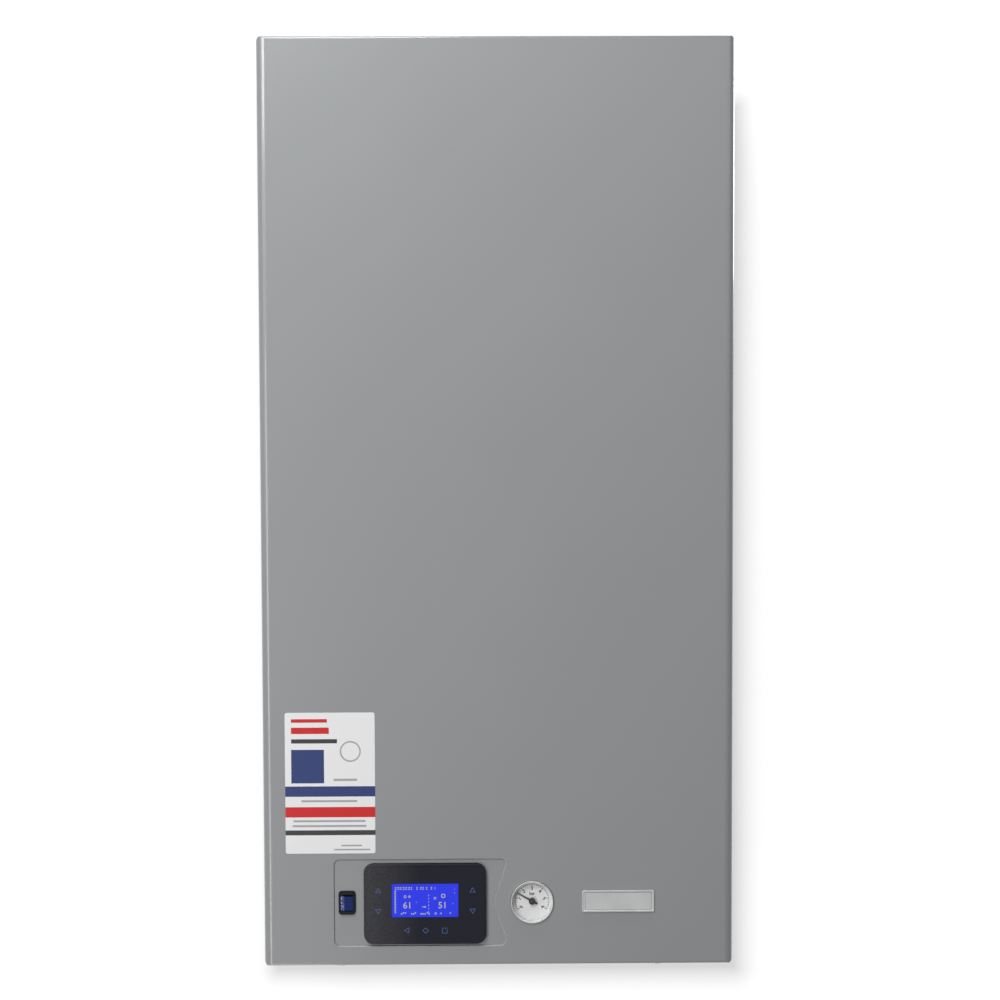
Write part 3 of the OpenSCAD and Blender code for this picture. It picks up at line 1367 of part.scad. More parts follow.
// Pipe tails through the bottom plate
module pipe_tails() color("goldenrod") on_base() difference() {
    union() {
        for (t = tails) {
            rod_z(t[0], t[1], tail_end, plate_top, t[2]);
            hex_z(t[0], t[1], plate_top, plate_top + tail_hex_h, t[4]);
            hex_z(t[0], t[1], plate_z - tail_nut_h, plate_z, t[4]);
            rod_z(t[0], t[1], plate_top, t[5], t[6]);
        }
        rod_x(row_y, fill_z, sensor_x, cold_branch_end, branch_r);
        rod_x(row_y, fill_z, return_branch_end, pump_x, branch_r);
        rod_x(row_y, hose_port_z, pump_x, pump_x + manifold_r + branch_reach, branch_r);
        rod_y(pump_x, return_port_z, row_y, row_y + manifold_r + branch_reach, return_port_r);
        rod_y(pump_x, safety_port_z, row_y - manifold_r - branch_reach, row_y, safety_port_r);
    }
    for (t = tails) rod_z(t[0], t[1], tail_end - cut, t[5] + cut, t[3]);
    rod_x(row_y, fill_z, sensor_x, cold_branch_end + cut, branch_bore_r);
    rod_x(row_y, fill_z, return_branch_end - cut, pump_x, branch_bore_r);
    rod_x(row_y, hose_port_z, pump_x, pump_x + manifold_r + branch_reach + cut, hose_r - hose_wall);
    rod_y(pump_x, return_port_z, row_y, row_y + manifold_r + branch_reach + cut, pipe_r - pipe_wall);
    rod_y(pump_x, safety_port_z, row_y - manifold_r - branch_reach - cut, row_y, water_bore_r);
}
module copper_pipes() color("chocolate") on_base() {
    branch_y = row_y + manifold_r + branch_reach;
    port_z = exchanger_z - exchanger_port_h;
    straight([diverter_x, row_y, diverter_top], [diverter_x, row_y, heater_bottom - boss_h],
        pipe_r, pipe_wall);
    run([[pump_x, row_y, pump_top], [pump_x, row_y, crossover_z], [crossover_x, row_y, crossover_z],
        [crossover_x, row_y, feed_z], [inlet_x, row_y, feed_z], [inlet_x, row_y, heater_bottom - boss_h]],
        pipe_r, pipe_wall, elbow_r);
    run([[diverter_x, diverter_port_y, diverter_z], [diverter_x, exchanger_rear_y, diverter_z],
        [-exchanger_port_x, exchanger_rear_y, diverter_z], [-exchanger_port_x, exchanger_rear_y, port_z]],
        pipe_r, pipe_wall, elbow_r);
    run([[exchanger_port_x, exchanger_rear_y, port_z], [exchanger_port_x, exchanger_rear_y, return_port_z],
        [pump_x, exchanger_rear_y, return_port_z], [pump_x, branch_y, return_port_z]],
        pipe_r, pipe_wall, elbow_r);
    straight([-exchanger_port_x, row_y, water_top], [-exchanger_port_x, row_y, port_z],
        thin_pipe_r, pipe_wall);
    straight([sensor_x, row_y, sensor_top], [sensor_x, row_y, port_z], thin_pipe_r, pipe_wall);
    run([[pump_x, row_y - manifold_r - branch_reach, safety_port_z], [pump_x, safety_y, safety_port_z],
        [safety_x + safety_port_l, safety_y, safety_port_z]], thin_pipe_r, pipe_wall, elbow_r);
}

wall_rail();
back_panel();
wall_pads();
top_plate();
bottom_plate();
front_posts();
front_cover();
cover_screws();
cover_badge();
cover_label();
control_fascia();
display_housing();
display_glass();
lcd_panel();
display_board();
rocker_housing();
rocker_button();
gauge_case();
gauge_dial();
gauge_lens();
gauge_needle();
capillary_tubes();
thermostat_body();
reset_button();
electrical_tray();
main_board();
board_components();
din_rail();
contactor();
contactor_plunger();
terminal_block();
cable_glands();
live_wires();
neutral_wires();
earth_wires();
display_cable();
heater_vessel();
heater_jacket();
heating_elements();
heater_bracket();
air_vent_body();
air_vent_cap();
expansion_vessel();
vessel_diaphragm();
vessel_hose();
pump_volute();
pump_motor();
pump_rotor();
plate_exchanger();
diverter_body();
diverter_motor();
diverter_stem();
safety_valve();
safety_knob();
flow_sensor();
flow_turbine();
fill_valve();
fill_knob();
pipe_tails();
copper_pipes();
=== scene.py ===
"""Looks of the wall-hung electric combi boiler: silver cover, controls, and the works behind the cover."""
import json
import math

import bmesh
import bpy
from mathutils import Matrix, Vector

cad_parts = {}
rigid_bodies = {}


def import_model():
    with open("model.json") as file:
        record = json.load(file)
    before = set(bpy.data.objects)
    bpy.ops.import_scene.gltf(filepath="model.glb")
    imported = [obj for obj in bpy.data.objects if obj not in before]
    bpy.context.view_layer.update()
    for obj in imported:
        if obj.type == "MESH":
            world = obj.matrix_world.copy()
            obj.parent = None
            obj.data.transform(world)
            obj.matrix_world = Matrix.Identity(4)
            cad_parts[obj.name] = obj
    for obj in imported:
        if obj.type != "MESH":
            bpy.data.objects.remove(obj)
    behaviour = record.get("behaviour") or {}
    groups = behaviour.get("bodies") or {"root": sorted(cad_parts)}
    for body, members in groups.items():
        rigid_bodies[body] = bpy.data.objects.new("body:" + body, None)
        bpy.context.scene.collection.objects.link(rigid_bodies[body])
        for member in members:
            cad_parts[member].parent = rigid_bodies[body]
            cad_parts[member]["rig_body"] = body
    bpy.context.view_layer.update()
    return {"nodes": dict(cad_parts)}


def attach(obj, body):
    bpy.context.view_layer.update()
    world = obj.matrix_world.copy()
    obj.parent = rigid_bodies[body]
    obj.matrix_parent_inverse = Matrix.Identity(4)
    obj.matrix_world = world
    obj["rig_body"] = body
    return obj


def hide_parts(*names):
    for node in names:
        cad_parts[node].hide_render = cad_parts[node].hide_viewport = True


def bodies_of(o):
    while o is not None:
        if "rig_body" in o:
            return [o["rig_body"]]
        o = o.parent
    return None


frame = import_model()

MM = 0.001
STAND = Matrix.Rotation(math.radians(90), 4, "X")


# Shader maths

def operator(operation, reflected=False):
    """A method that adds one Math node, with its own socket first or, where it is reflected, second."""
    def added(self, other=0):
        pair = (other, self) if reflected else (self, other)
        return node(self.tree, "ShaderNodeMath", {"operation": operation}, dict(enumerate(pair)))
    return added


class Flow:
    """A socket in a material's nodes that can be added, multiplied and compared."""

    def __init__(self, tree, socket):
        self.tree = tree
        self.socket = socket

    __add__ = operator("ADD")
    __radd__ = operator("ADD", reflected=True)
    __sub__ = operator("SUBTRACT")
    __rsub__ = operator("SUBTRACT", reflected=True)
    __mul__ = operator("MULTIPLY")
    __rmul__ = operator("MULTIPLY", reflected=True)
    __truediv__ = operator("DIVIDE")
    __rtruediv__ = operator("DIVIDE", reflected=True)
    __gt__ = operator("GREATER_THAN")
    __lt__ = operator("LESS_THAN")
    __abs__ = operator("ABSOLUTE")
    most = operator("MAXIMUM")
    fold = operator("PINGPONG")
    root = operator("SQRT")


def node(tree, kind, settings=None, values=None, out=0):
    """Adds one node: its settings first, then the values or links of its sockets; gives one output."""
    made = tree.nodes.new(kind)
    for key, value in (settings or {}).items():
        setattr(made, key, value)
    for key, value in (values or {}).items():
        if isinstance(value, Flow):
            tree.links.new(value.socket, made.inputs[key])
        else:
            made.inputs[key].default_value = value
    return Flow(tree, made.outputs[out])


def shade(colour):
    """A colour as Blender wants it, from a grey or from three numbers."""
    return (colour, colour, colour, 1.0) if isinstance(colour, (int, float)) else (*colour, 1.0)


class Finish:
    """A material in the making: uniform values on the shader, and patterns added by name."""

    def __init__(self, name, colour, roughness, metallic=0.0, **uniform):
        self.material = bpy.data.materials.new(name)
        self.material.use_nodes = True
        self.tree = self.material.node_tree
        self.tree.nodes.clear()
        self.out = self.tree.nodes.new("ShaderNodeOutputMaterial")
        self.shader = self.tree.nodes.new("ShaderNodeBsdfPrincipled")
        self.tree.links.new(self.shader.outputs[0], self.out.inputs[0])
        self.colour = shade(colour)
        self.coordinates = None
        self.set("Base Color", self.colour)
        self.set("Roughness", roughness)
        self.set("Metallic", metallic)
        for key, value in uniform.items():
            self.set(key.replace("_", " ").title().replace("Ior", "IOR"), value)

    def set(self, socket, value):
        """Gives a socket of the shader a plain value or a flow."""
        if isinstance(value, Flow):
            self.tree.links.new(value.socket, self.shader.inputs[socket])
        else:
            self.shader.inputs[socket].default_value = value

    def node(self, kind, settings=None, values=None, out=0):
        return node(self.tree, kind, settings, values, out)

    def place(self):
        """The place on the piece, in metres from the shared origin."""
        if self.coordinates is None:
            self.coordinates = self.node("ShaderNodeTexCoord", out="Object")
        return self.coordinates

    def axes(self):
        """The place as three separate flows: X, Y and Z."""
        split = self.tree.nodes.new("ShaderNodeSeparateXYZ")
        self.tree.links.new(self.place().socket, split.inputs[0])
        return [Flow(self.tree, output) for output in split.outputs]

    def grain(self, size, detail=2.0, stretch=None):
        """Noise whose features are about this many metres across, stretched along an axis if asked."""
        spot = self.place()
        if stretch:
            spot = self.node("ShaderNodeMapping", {}, {"Vector": spot, "Scale": stretch})
        return self.node("ShaderNodeTexNoise", {}, {"Vector": spot, "Scale": 1 / size, "Detail": detail})

    def cells(self, size, out="Color"):
        """Cells about this many metres across: a colour for each, or the distance from its middle."""
        return self.node("ShaderNodeTexVoronoi", {}, {"Vector": self.place(), "Scale": 1 / size}, out=out)

    def spread(self, flow, low, high, a=0.0, b=1.0):
        """Maps a flow from low..high to a..b, held at both ends."""
        return self.node("ShaderNodeMapRange", {"clamp": True}, {0: flow, 1: low, 2: high, 3: a, 4: b})

    def mix(self, share, a, b):
        """A colour between two others, by a share from 0 to 1."""
        a, b = (value if isinstance(value, Flow) else shade(value) for value in (a, b))
        return self.node("ShaderNodeMix", {"data_type": "RGBA"}, {0: share, 6: a, 7: b}, out=2)

    def tint(self, flow, low, high):
        """Base colour between two shades of the finish's own colour, by a flow from 0 to 1."""
        dark = tuple(c * low for c in self.colour[:3])
        light = tuple(min(1.0, c * high) for c in self.colour[:3])
        self.set("Base Color", self.mix(flow, dark, light))
        return self

    def rough(self, flow, low, high):
        """Roughness between two values, by the middle range of a noise."""
        self.set("Roughness", self.spread(flow, 0.3, 0.7, low, high))
        return self

    def bump(self, flow, depth):
        """A bump from a height flow from 0 to 1, its depth in metres."""
        self.set("Normal", self.node("ShaderNodeBump", {}, {"Distance": depth, "Height": flow}))
        return self


# Finishes that several pieces share

def moulded(name, colour, roughness, **uniform):
    """Moulded plastic with a fine spark-eroded grain."""
    f = Finish(name, colour, roughness, **uniform)
    fine = f.grain(0.0006, 3.0)
    f.tint(f.grain(0.02), 0.93, 1.06)
    f.rough(fine, roughness - 0.05, roughness + 0.07)
    return f.bump(fine, 0.00003).material


def zinc_sheet():
    """Galvanised sheet: crystals with a lighter or darker face each, and rolling marks."""
    f = Finish("zinc_sheet", 0.42, 0.42, 0.85)
    crystal = f.node("ShaderNodeSeparateColor", {}, {0: f.cells(0.009)})
    marks = f.grain(0.003, stretch=(1.0, 1.0, 0.05))
    f.tint(crystal * 0.7 + marks * 0.3, 0.78, 1.14)
    f.rough(crystal * 0.6 + marks * 0.4, 0.34, 0.5)
    return f.bump(marks, 0.00001).material


def turned_metal(name, colour, roughness=0.28, metallic=1.0, blotch=0.01):
    """Turned or pressed metal with light handling marks."""
    f = Finish(name, colour, roughness, metallic)
    cloud = f.grain(blotch, 4.0)
    fine = f.grain(0.0007)
    f.tint(cloud, 0.8, 1.1)
    f.rough(cloud * 0.7 + fine * 0.3, roughness - 0.08, roughness + 0.14)
    return f.bump(fine, 0.00001).material


def stainless_steel():
    """Stainless steel brushed along X."""
    f = Finish("stainless", 0.52, 0.32, 1.0)
    lines = f.grain(0.0005, 3.0, (0.03, 1.0, 1.0))
    f.tint(lines, 0.86, 1.08)
    f.rough(lines, 0.24, 0.4)
    return f.bump(lines, 0.000006).material


def enamel(name, colour, roughness=0.3):
    """Sprayed enamel with a slight orange peel."""
    f = Finish(name, colour, roughness, Coat_Weight=0.35, Coat_Roughness=0.2)
    peel = f.grain(0.0018, 1.0)
    f.tint(f.grain(0.05), 0.9, 1.08)
    f.rough(f.grain(0.01, 3.0), roughness - 0.05, roughness + 0.1)
    return f.bump(peel, 0.00004).material


def insulation(name, colour):
    """Extruded wire insulation."""
    f = Finish(name, colour, 0.42)
    fine = f.grain(0.0009)
    f.tint(f.grain(0.03, 1.0), 0.88, 1.08)
    f.rough(fine, 0.36, 0.5)
    return f.bump(fine, 0.00002).material


def rubber(name, colour):
    """Matt black rubber."""
    f = Finish(name, colour, 0.7)
    fine = f.grain(0.0012, 3.0)
    f.tint(f.grain(0.03), 0.8, 1.3)
    f.rough(fine, 0.62, 0.78)
    return f.bump(fine, 0.00005).material


def circuit_board(name):
    """Green solder mask with copper traces under it and tinned pads."""
    mask, trace, tin = (0.02, 0.13, 0.05), (0.035, 0.2, 0.07), (0.5, 0.5, 0.46)
    f = Finish(name, mask, 0.3, Coat_Weight=0.4)
    x, _, z = f.axes()
    wave = f.grain(0.022, 1.0) * 1.6
    columns = (x / 0.0041 + wave).fold(0.5) > 0.36
    rows = ((z / 0.0032).fold(0.5) + wave * 0.5).fold(0.5) > 0.38
    lanes = columns.most(rows)
    pads = f.cells(0.006, out="Distance") < 0.1
    f.set("Base Color", f.mix(pads, f.mix(lanes, mask, trace), tin))
    f.set("Metallic", pads * 0.9)
    return f.bump(lanes, 0.00003).material


def gloss_black(name):
    """The display's black face: smooth and dark, with a painted grey sheen towards its left."""
    black, sheen_grey = (0.016, 0.016, 0.026), (0.075, 0.076, 0.08)
    sheen_x, sheen_end_x = -0.1255, -0.075
    f = Finish(name, black, 0.22, Specular_Ior_Level=0.12)
    x, _, _ = f.axes()
    # Painted sheen: a paler grey on the left part of the face, fading out to the right and broken up by a
    # fine noise
    painted_sheen = f.spread(x, sheen_x, sheen_end_x, 1.0, 0.0) * f.spread(f.grain(0.0011, 3.0), 0.3, 0.7, 0.35, 1.0)
    f.set("Base Color", f.mix(painted_sheen, black, sheen_grey))
    f.rough(f.grain(0.008, 3.0), 0.18, 0.28)
    return f.material


def lit_mark(name, colour, strength=0.9):
    """The pale segments and outlines of a display."""
    f = Finish(name, tuple(c * 0.3 for c in colour), 0.4, Emission_Strength=strength)
    f.set("Emission Color", f.mix(f.grain(0.002), tuple(c * 0.85 for c in colour), colour))
    return f.material


def printed_ink(name):
    """Matt black printing ink."""
    f = Finish(name, 0.008, 0.6, Specular_Ior_Level=0.08)
    return f.rough(f.grain(0.001), 0.54, 0.66).material


# Finishes of one piece each

def silver_paint():
    """The cover's silver paint: fine flakes, slow cloudiness and a faint orange peel."""
    f = Finish("silver_paint", (0.27, 0.279, 0.286), 0.45, 0.15, Specular_Ior_Level=0.2, Coat_Weight=0.85,
               Coat_Roughness=0.14)
    flakes = f.grain(0.0005)
    cloud = f.grain(0.12, 3.0)
    f.tint(f.spread(flakes, 0.3, 0.7) * 0.55 + cloud * 0.45, 0.94, 1.06)
    f.rough(f.grain(0.004, 3.0), 0.42, 0.5)
    return f.bump(f.grain(0.0025, 1.0) * 0.8 + flakes * 0.2, 0.00002).material


def lit_panel():
    """The lit blue panel: rows of dots on an evenly lit sheet."""
    dot_blue, gap_blue = (0.022, 0.036, 0.66), (0.018, 0.028, 0.5)
    dot_pitch, dot_gap = 0.0005, 0.06
    f = Finish("lit_panel", (0.01, 0.014, 0.2), 0.2, Emission_Strength=1.0, Specular_Ior_Level=0.12)
    x, _, z = f.axes()
    dots = ((x / dot_pitch).fold(0.5) > dot_gap) * ((z / dot_pitch).fold(0.5) > dot_gap)
    glow = f.spread(f.grain(0.03), 0.3, 0.7, 0.94, 1.04)
    f.set("Emission Color", f.mix(dots * glow, gap_blue, dot_blue))
    return f.material


def printed_dial():
    """The gauge's white enamelled dial plate."""
    f = Finish("printed_dial", 0.88, 0.4)
    f.tint(f.grain(0.01), 0.97, 1.0)
    return f.rough(f.grain(0.0008), 0.36, 0.46).material


def clear_lens():
    """The gauge's clear window: thin, with a little haze."""
    f = Finish("clear_lens", 1.0, 0.03, IOR=1.45)
    f.set("Alpha", f.spread(f.grain(0.004, 3.0), 0.3, 0.8, 0.02, 0.05))
    return f.material


def rocker_lens():
    """The rocker's smoked blue window with a faint glow, and a painted highlight on its left side."""
    highlight_x, highlight_end_x = -0.1492, -0.1455
    f = Finish("rocker_lens", (0.005, 0.012, 0.07), 0.2, Emission_Strength=1.0, Specular_Ior_Level=0.15)
    x, _, _ = f.axes()
    # Painted highlight: a pale blue glow on the left of the window, fading out to the right and broken up by
    # a fine noise
    painted_highlight = f.spread(x, highlight_x, highlight_end_x, 1.0, 0.0) * f.spread(f.grain(0.0009, 3.0), 0.45, 0.6)
    f.set("Emission Color", f.mix(painted_highlight, (0.002, 0.008, 0.05), (0.42, 0.5, 0.85)))
    return f.material


def foam_jacket():
    """Dark foam with a wrinkled skin."""
    f = Finish("foam_jacket", (0.05, 0.055, 0.06), 0.75)
    wrinkle = f.grain(0.012, 4.0, (1.0, 1.0, 0.5))
    pores = f.grain(0.0015)
    f.tint(wrinkle, 0.7, 1.35)
    f.rough(pores, 0.68, 0.84)
    return f.bump(wrinkle * 0.7 + pores * 0.3, 0.0008).material


def cast_iron():
    """Dark sand-cast iron."""
    f = Finish("cast_iron", (0.06, 0.062, 0.066), 0.55, 0.2)
    sand = f.grain(0.0012, 3.0)
    f.tint(f.grain(0.015, 3.0), 0.75, 1.3)
    f.rough(sand, 0.48, 0.66)
    return f.bump(sand, 0.0002).material


def braid():
    """Steel braid: two sets of crossing strands."""
    strand = 0.0021
    f = Finish("braid", 0.5, 0.34, 1.0)
    x, y, z = f.axes()
    strands = ((x + y + z) / strand).fold(0.5).most(((z - x - y) / strand).fold(0.5)) * 2
    f.tint(strands, 0.45, 1.15)
    return f.bump(strands, 0.0003).material


def earth_insulation():
    """Earth wire insulation: yellow and green stripes."""
    stripe = 0.0024
    f = Finish("earth_stripes", (0.5, 0.5, 0.03), 0.42)
    x, y, z = f.axes()
    side = f.spread(((x + y + z * 0.2) / stripe).fold(0.5), 0.2, 0.3)
    f.set("Base Color", f.mix(side, (0.05, 0.28, 0.04), (0.62, 0.58, 0.03)))
    return f.material


def plain_label():
    """A printed label of thin plastic sheet: plain bands and blocks where the print would be, and grey lines
    for its words.
    """
    low, high = (at(*corner) for corner in box_of("cover_label"))
    width, height = high.x - low.x, high.z - low.z
    red, navy, dark, grey = (0.62, 0.012, 0.012), (0.012, 0.03, 0.15), (0.02, 0.02, 0.027), (0.4, 0.4, 0.42)
    f = Finish("plain_label", 0.92, 0.35)
    x, _, z = f.axes()
    down = (high.z - z) / height
    across = (x - low.x) / width
    colour = 0.92
    # Each band's top, bottom, left and right, as shares of the label, and its ink
    for top, bottom, left, right, ink in (
            (0.045, 0.07, 0.07, 0.47, red), (0.105, 0.15, 0.07, 0.49, red), (0.187, 0.217, 0.07, 0.58, dark),
            (0.262, 0.5, 0.069, 0.434, navy), (0.468, 0.484, 0.54, 0.8, grey), (0.522, 0.595, -1, 2, navy),
            (0.62, 0.634, 0.18, 0.8, grey), (0.669, 0.742, -1, 2, red), (0.762, 0.776, 0.09, 0.89, grey),
            (0.797, 0.811, 0.08, 0.9, grey), (0.834, 0.869, -1, 2, dark), (0.938, 0.949, 0.62, 0.85, grey),
            (0.967, 0.978, 0.54, 0.94, grey)):
        inside = (down > top) * (down < bottom) * (across > left) * (across < right)
        colour = f.mix(inside, colour, ink)
    ring_across, ring_down, inner_squared, outer_squared = 0.727, 0.275, 72, 98
    off_x = (across - ring_across) * (width / MM)
    off_z = (down - ring_down) * (height / MM)
    reach = off_x * off_x + off_z * off_z
    f.set("Base Color", f.mix((reach > inner_squared) * (reach < outer_squared), colour, grey))
    return f.rough(f.grain(0.003), 0.3, 0.42).material


def board_parts():
    """Parts on the main board, told apart by where they stand: relays, transformer, middle row and plugs."""
    relay_z, transformer_z, plug_z, transformer_x = 0.002, -0.006, -0.05, 0.068
    black, blue, amber, cream = (0.02, 0.02, 0.022), (0.01, 0.06, 0.3), (0.5, 0.34, 0.03), (0.62, 0.61, 0.56)
    f = Finish("board_parts", black, 0.4)
    x, _, z = f.axes()
    colour = f.mix((z > relay_z) * (x < transformer_x), black, blue)
    colour = f.mix((z > transformer_z) * (x > transformer_x), colour, amber)
    colour = f.mix(z < plug_z, colour, cream)
    fine = f.grain(0.0008)
    f.set("Base Color", f.mix(fine * 0.12, colour, 0.5))
    f.rough(fine, 0.34, 0.5)
    return f.bump(fine, 0.00003).material


def element_metals():
    """The heating elements: steel rods under brass heads, which begin at one height."""
    head_z = -0.15
    f = Finish("element_metals", (0.42, 0.4, 0.38), 0.3, 1.0)
    _, _, z = f.axes()
    cloud = f.grain(0.008, 3.0)
    metal = f.mix(z > head_z, (0.42, 0.4, 0.38), (0.56, 0.42, 0.2))
    f.set("Base Color", f.mix(cloud * 0.35, metal, (0.1, 0.09, 0.08)))
    f.rough(cloud, 0.24, 0.44)
    return f.bump(f.grain(0.0006), 0.00001).material


def sensor_finish():
    """Brass sensor body with a black moulded pick-up box in front."""
    box_y = -0.1148
    f = Finish("sensor_finish", (0.56, 0.4, 0.17), 0.32)
    _, y, _ = f.axes()
    box = y < box_y
    cloud = f.grain(0.008, 3.0)
    brass_cloud = f.mix(cloud * 0.4, (0.56, 0.4, 0.17), (0.3, 0.2, 0.09))
    f.set("Base Color", f.mix(box, brass_cloud, (0.015, 0.015, 0.016)))
    f.set("Metallic", 1 - box)
    f.rough(cloud, 0.28, 0.46)
    return f.bump(f.grain(0.0007), 0.00002).material


# Pieces. Their places and sizes are in millimetres, with heights counted from the bottom of the cover.

COVER_BOTTOM = -800
PRINT_T = 0.04


def at(x, y, z):
    """A place in metres from the shared origin, where the wall screws are."""
    return Vector((x * MM, y * MM, (z + COVER_BOTTOM) * MM))


def box_of(node):
    """The lowest and the highest corner of a node of the frame, in millimetres as at() takes them."""
    spots = [v.co for v in frame["nodes"][node].data.vertices]
    corners = ([round(pick(spot[k] for spot in spots) / MM, 3) for k in range(3)] for pick in (min, max))
    return [Vector((x, y, z - COVER_BOTTOM)) for x, y, z in corners]


def add_piece(name, bm, material, body, node, bevel=0.0):
    """Turns a finished bmesh into a piece that rides on a body; its node argument is not used."""
    mesh = bpy.data.meshes.new(name)
    bm.to_mesh(mesh)
    bm.free()
    mesh.materials.append(material)
    mesh.shade_smooth()
    mesh.set_sharp_from_angle(angle=math.radians(35))
    obj = bpy.data.objects.new(name, mesh)
    bpy.context.scene.collection.objects.link(obj)
    if bevel:
        edge = obj.modifiers.new("soft_edges", "BEVEL")
        edge.width = bevel * MM
        edge.segments = 2
        edge.limit_method = "ANGLE"
        edge.angle_limit = math.radians(50)
        edge.use_clamp_overlap = True
        edge.harden_normals = True
    level = obj.modifiers.new("flat_faces", "WEIGHTED_NORMAL")
    level.keep_sharp = True
    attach(obj, body)
    return obj


def welded_panel(bm):
    """Closes the hairline between the cover's sheet and its flush control panel, as a ground weld does."""
    panel_x, panel_z, half_width, half_height, corner = -81.5, 60, 90.5, 45, 5
    skin, hairline, weld = 1.3, 0.1, 0.09
    middle = at(panel_x, 0, panel_z)
    behind_skin = min(v.co.y for v in bm.verts) + skin * MM

    def past_seam(v):
        """How far a vertex lies outside the panel's rounded outline."""
        x = abs((v.co.x - middle.x) / MM) - (half_width - corner)
        z = abs((v.co.z - middle.z) / MM) - (half_height - corner)
        return math.hypot(max(x, 0), max(z, 0)) + min(max(x, z), 0) - corner

    seam = [v for v in bm.verts if v.co.y < behind_skin and abs(past_seam(v)) < hairline]
    walls = {f for v in seam for f in v.link_faces
             if abs(f.normal.y) < 0.5 and all(u in seam for u in f.verts)}
    bmesh.ops.delete(bm, geom=list(walls), context="FACES_ONLY")
    bmesh.ops.remove_doubles(bm, verts=[v for v in seam if v.is_valid], dist=weld * MM)


def pressed_edge(bm):
    """Rounds the edge where the cover's face drops into the field of controls."""
    low, high = at(-156, 0, 18), at(8, 0, 102)
    near_face = min(v.co.y for v in bm.verts) + 0.01 * MM

    def on_rim(v):
        return v.co.y < near_face and low.x < v.co.x < high.x and low.z < v.co.z < high.z

    rim = [e for e in bm.edges if all(on_rim(v) for v in e.verts)]
    bmesh.ops.bevel(bm, geom=rim, offset=1.1 * MM, offset_type="OFFSET", segments=4, profile=0.5,
                    affect="EDGES", material=-1, clamp_overlap=False)


def dress(node, material, bevel=0.0, sink=0.0):
    """A smooth-shaded copy of a node's mesh in its finish, with softened edges or a sunk front if asked."""
    bm = bmesh.new()
    bm.from_mesh(frame["nodes"][node].data)
    bmesh.ops.remove_doubles(bm, verts=bm.verts, dist=0.004 * MM)
    if node == "front_cover":
        welded_panel(bm)
    bmesh.ops.dissolve_limit(bm, angle_limit=math.radians(0.4), verts=bm.verts, edges=bm.edges)
    if sink:
        front = min(v.co.y for v in bm.verts)
        for v in bm.verts:
            if v.co.y < front + 0.01 * MM:
                v.co.y += sink * MM
    if node == "front_cover":
        pressed_edge(bm)
    obj = add_piece(node + "_finished", bm, material, body_of[node], node, bevel=bevel)
    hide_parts(node)


def box_at(bm, centre, size):
    """A block, by its middle and its three sizes."""
    return bmesh.ops.create_cube(bm, size=1, matrix=Matrix.Translation(centre)
                                 @ Matrix.Diagonal((*(k * MM for k in size), 1)))["verts"]


def stub(bm, start, radius, length, sides):
    """A short round stub along Y from a point; a negative length reaches to the front."""
    middle = start + Vector((0, 1, 0)) * (length * MM / 2)
    return bmesh.ops.create_cone(bm, cap_ends=True, segments=sides, radius1=radius * MM, radius2=radius * MM,
                                 depth=abs(length) * MM, matrix=Matrix.Translation(middle) @ STAND)["verts"]


def ring_mark(bm, centre, radius, sides, line, turn, thick):
    """An outline with so many sides, facing the front: a triangle, a square or a ring."""
    lay = Matrix.Translation(centre) @ STAND @ Matrix.Rotation(math.radians(turn), 4, "Z")
    made = bmesh.ops.create_circle(bm, cap_ends=True, segments=sides, radius=radius * MM, matrix=lay)["verts"]
    face = made[0].link_faces[0]
    bmesh.ops.inset_region(bm, faces=[face], thickness=line * MM, use_even_offset=True, use_boundary=True)
    rim = [f for v in made for f in v.link_faces]
    bmesh.ops.delete(bm, geom=[face], context="FACES_ONLY")
    rim = list({f for f in rim if f.is_valid})
    grown = bmesh.ops.extrude_face_region(bm, geom=rim)["geom"]
    front = [g for g in grown if isinstance(g, bmesh.types.BMVert)]
    bmesh.ops.translate(bm, vec=(0, -thick * MM, 0), verts=front)


def written(bm, words, size, weight, centre, turn=0.0, thick=PRINT_T, wide=1.0):
    """Numbers or a unit as a thin solid facing the front, centred on a point."""
    curve = bpy.data.curves.new("figures", "FONT")
    curve.body = words
    curve.size = size * MM
    curve.align_x = "CENTER"
    curve.align_y = "CENTER"
    curve.extrude = thick * MM / 2
    curve.offset = weight * MM
    curve.resolution_u = 3
    holder = bpy.data.objects.new("figures", curve)
    bpy.context.scene.collection.objects.link(holder)
    bpy.context.view_layer.update()
    flat = bpy.data.meshes.new_from_object(holder.evaluated_get(bpy.context.evaluated_depsgraph_get()))
    flat.transform(Matrix.Translation(centre) @ STAND @ Matrix.Rotation(math.radians(turn), 4, "Z")
                   @ Matrix.Diagonal((wide, 1, 1, 1)))
    bm.from_mesh(flat)
    bpy.data.objects.remove(holder)
    bpy.data.curves.remove(curve)
    bpy.data.meshes.remove(flat)


body_of = {name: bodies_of(obj)[0] for name, obj in frame["nodes"].items()}

# Finishes of the frame's nodes, each with the width of its softened edges in millimetres

zinc = zinc_sheet()
brass = turned_metal("brass", (0.56, 0.4, 0.17))
copper = turned_metal("copper", (0.62, 0.28, 0.16), 0.3)
steel = turned_metal("screw_steel", 0.42, 0.3)
stainless = stainless_steel()
black_plastic = moulded("black_plastic", 0.014, 0.42)
red_plastic = moulded("red_plastic", (0.5, 0.012, 0.01), 0.35)

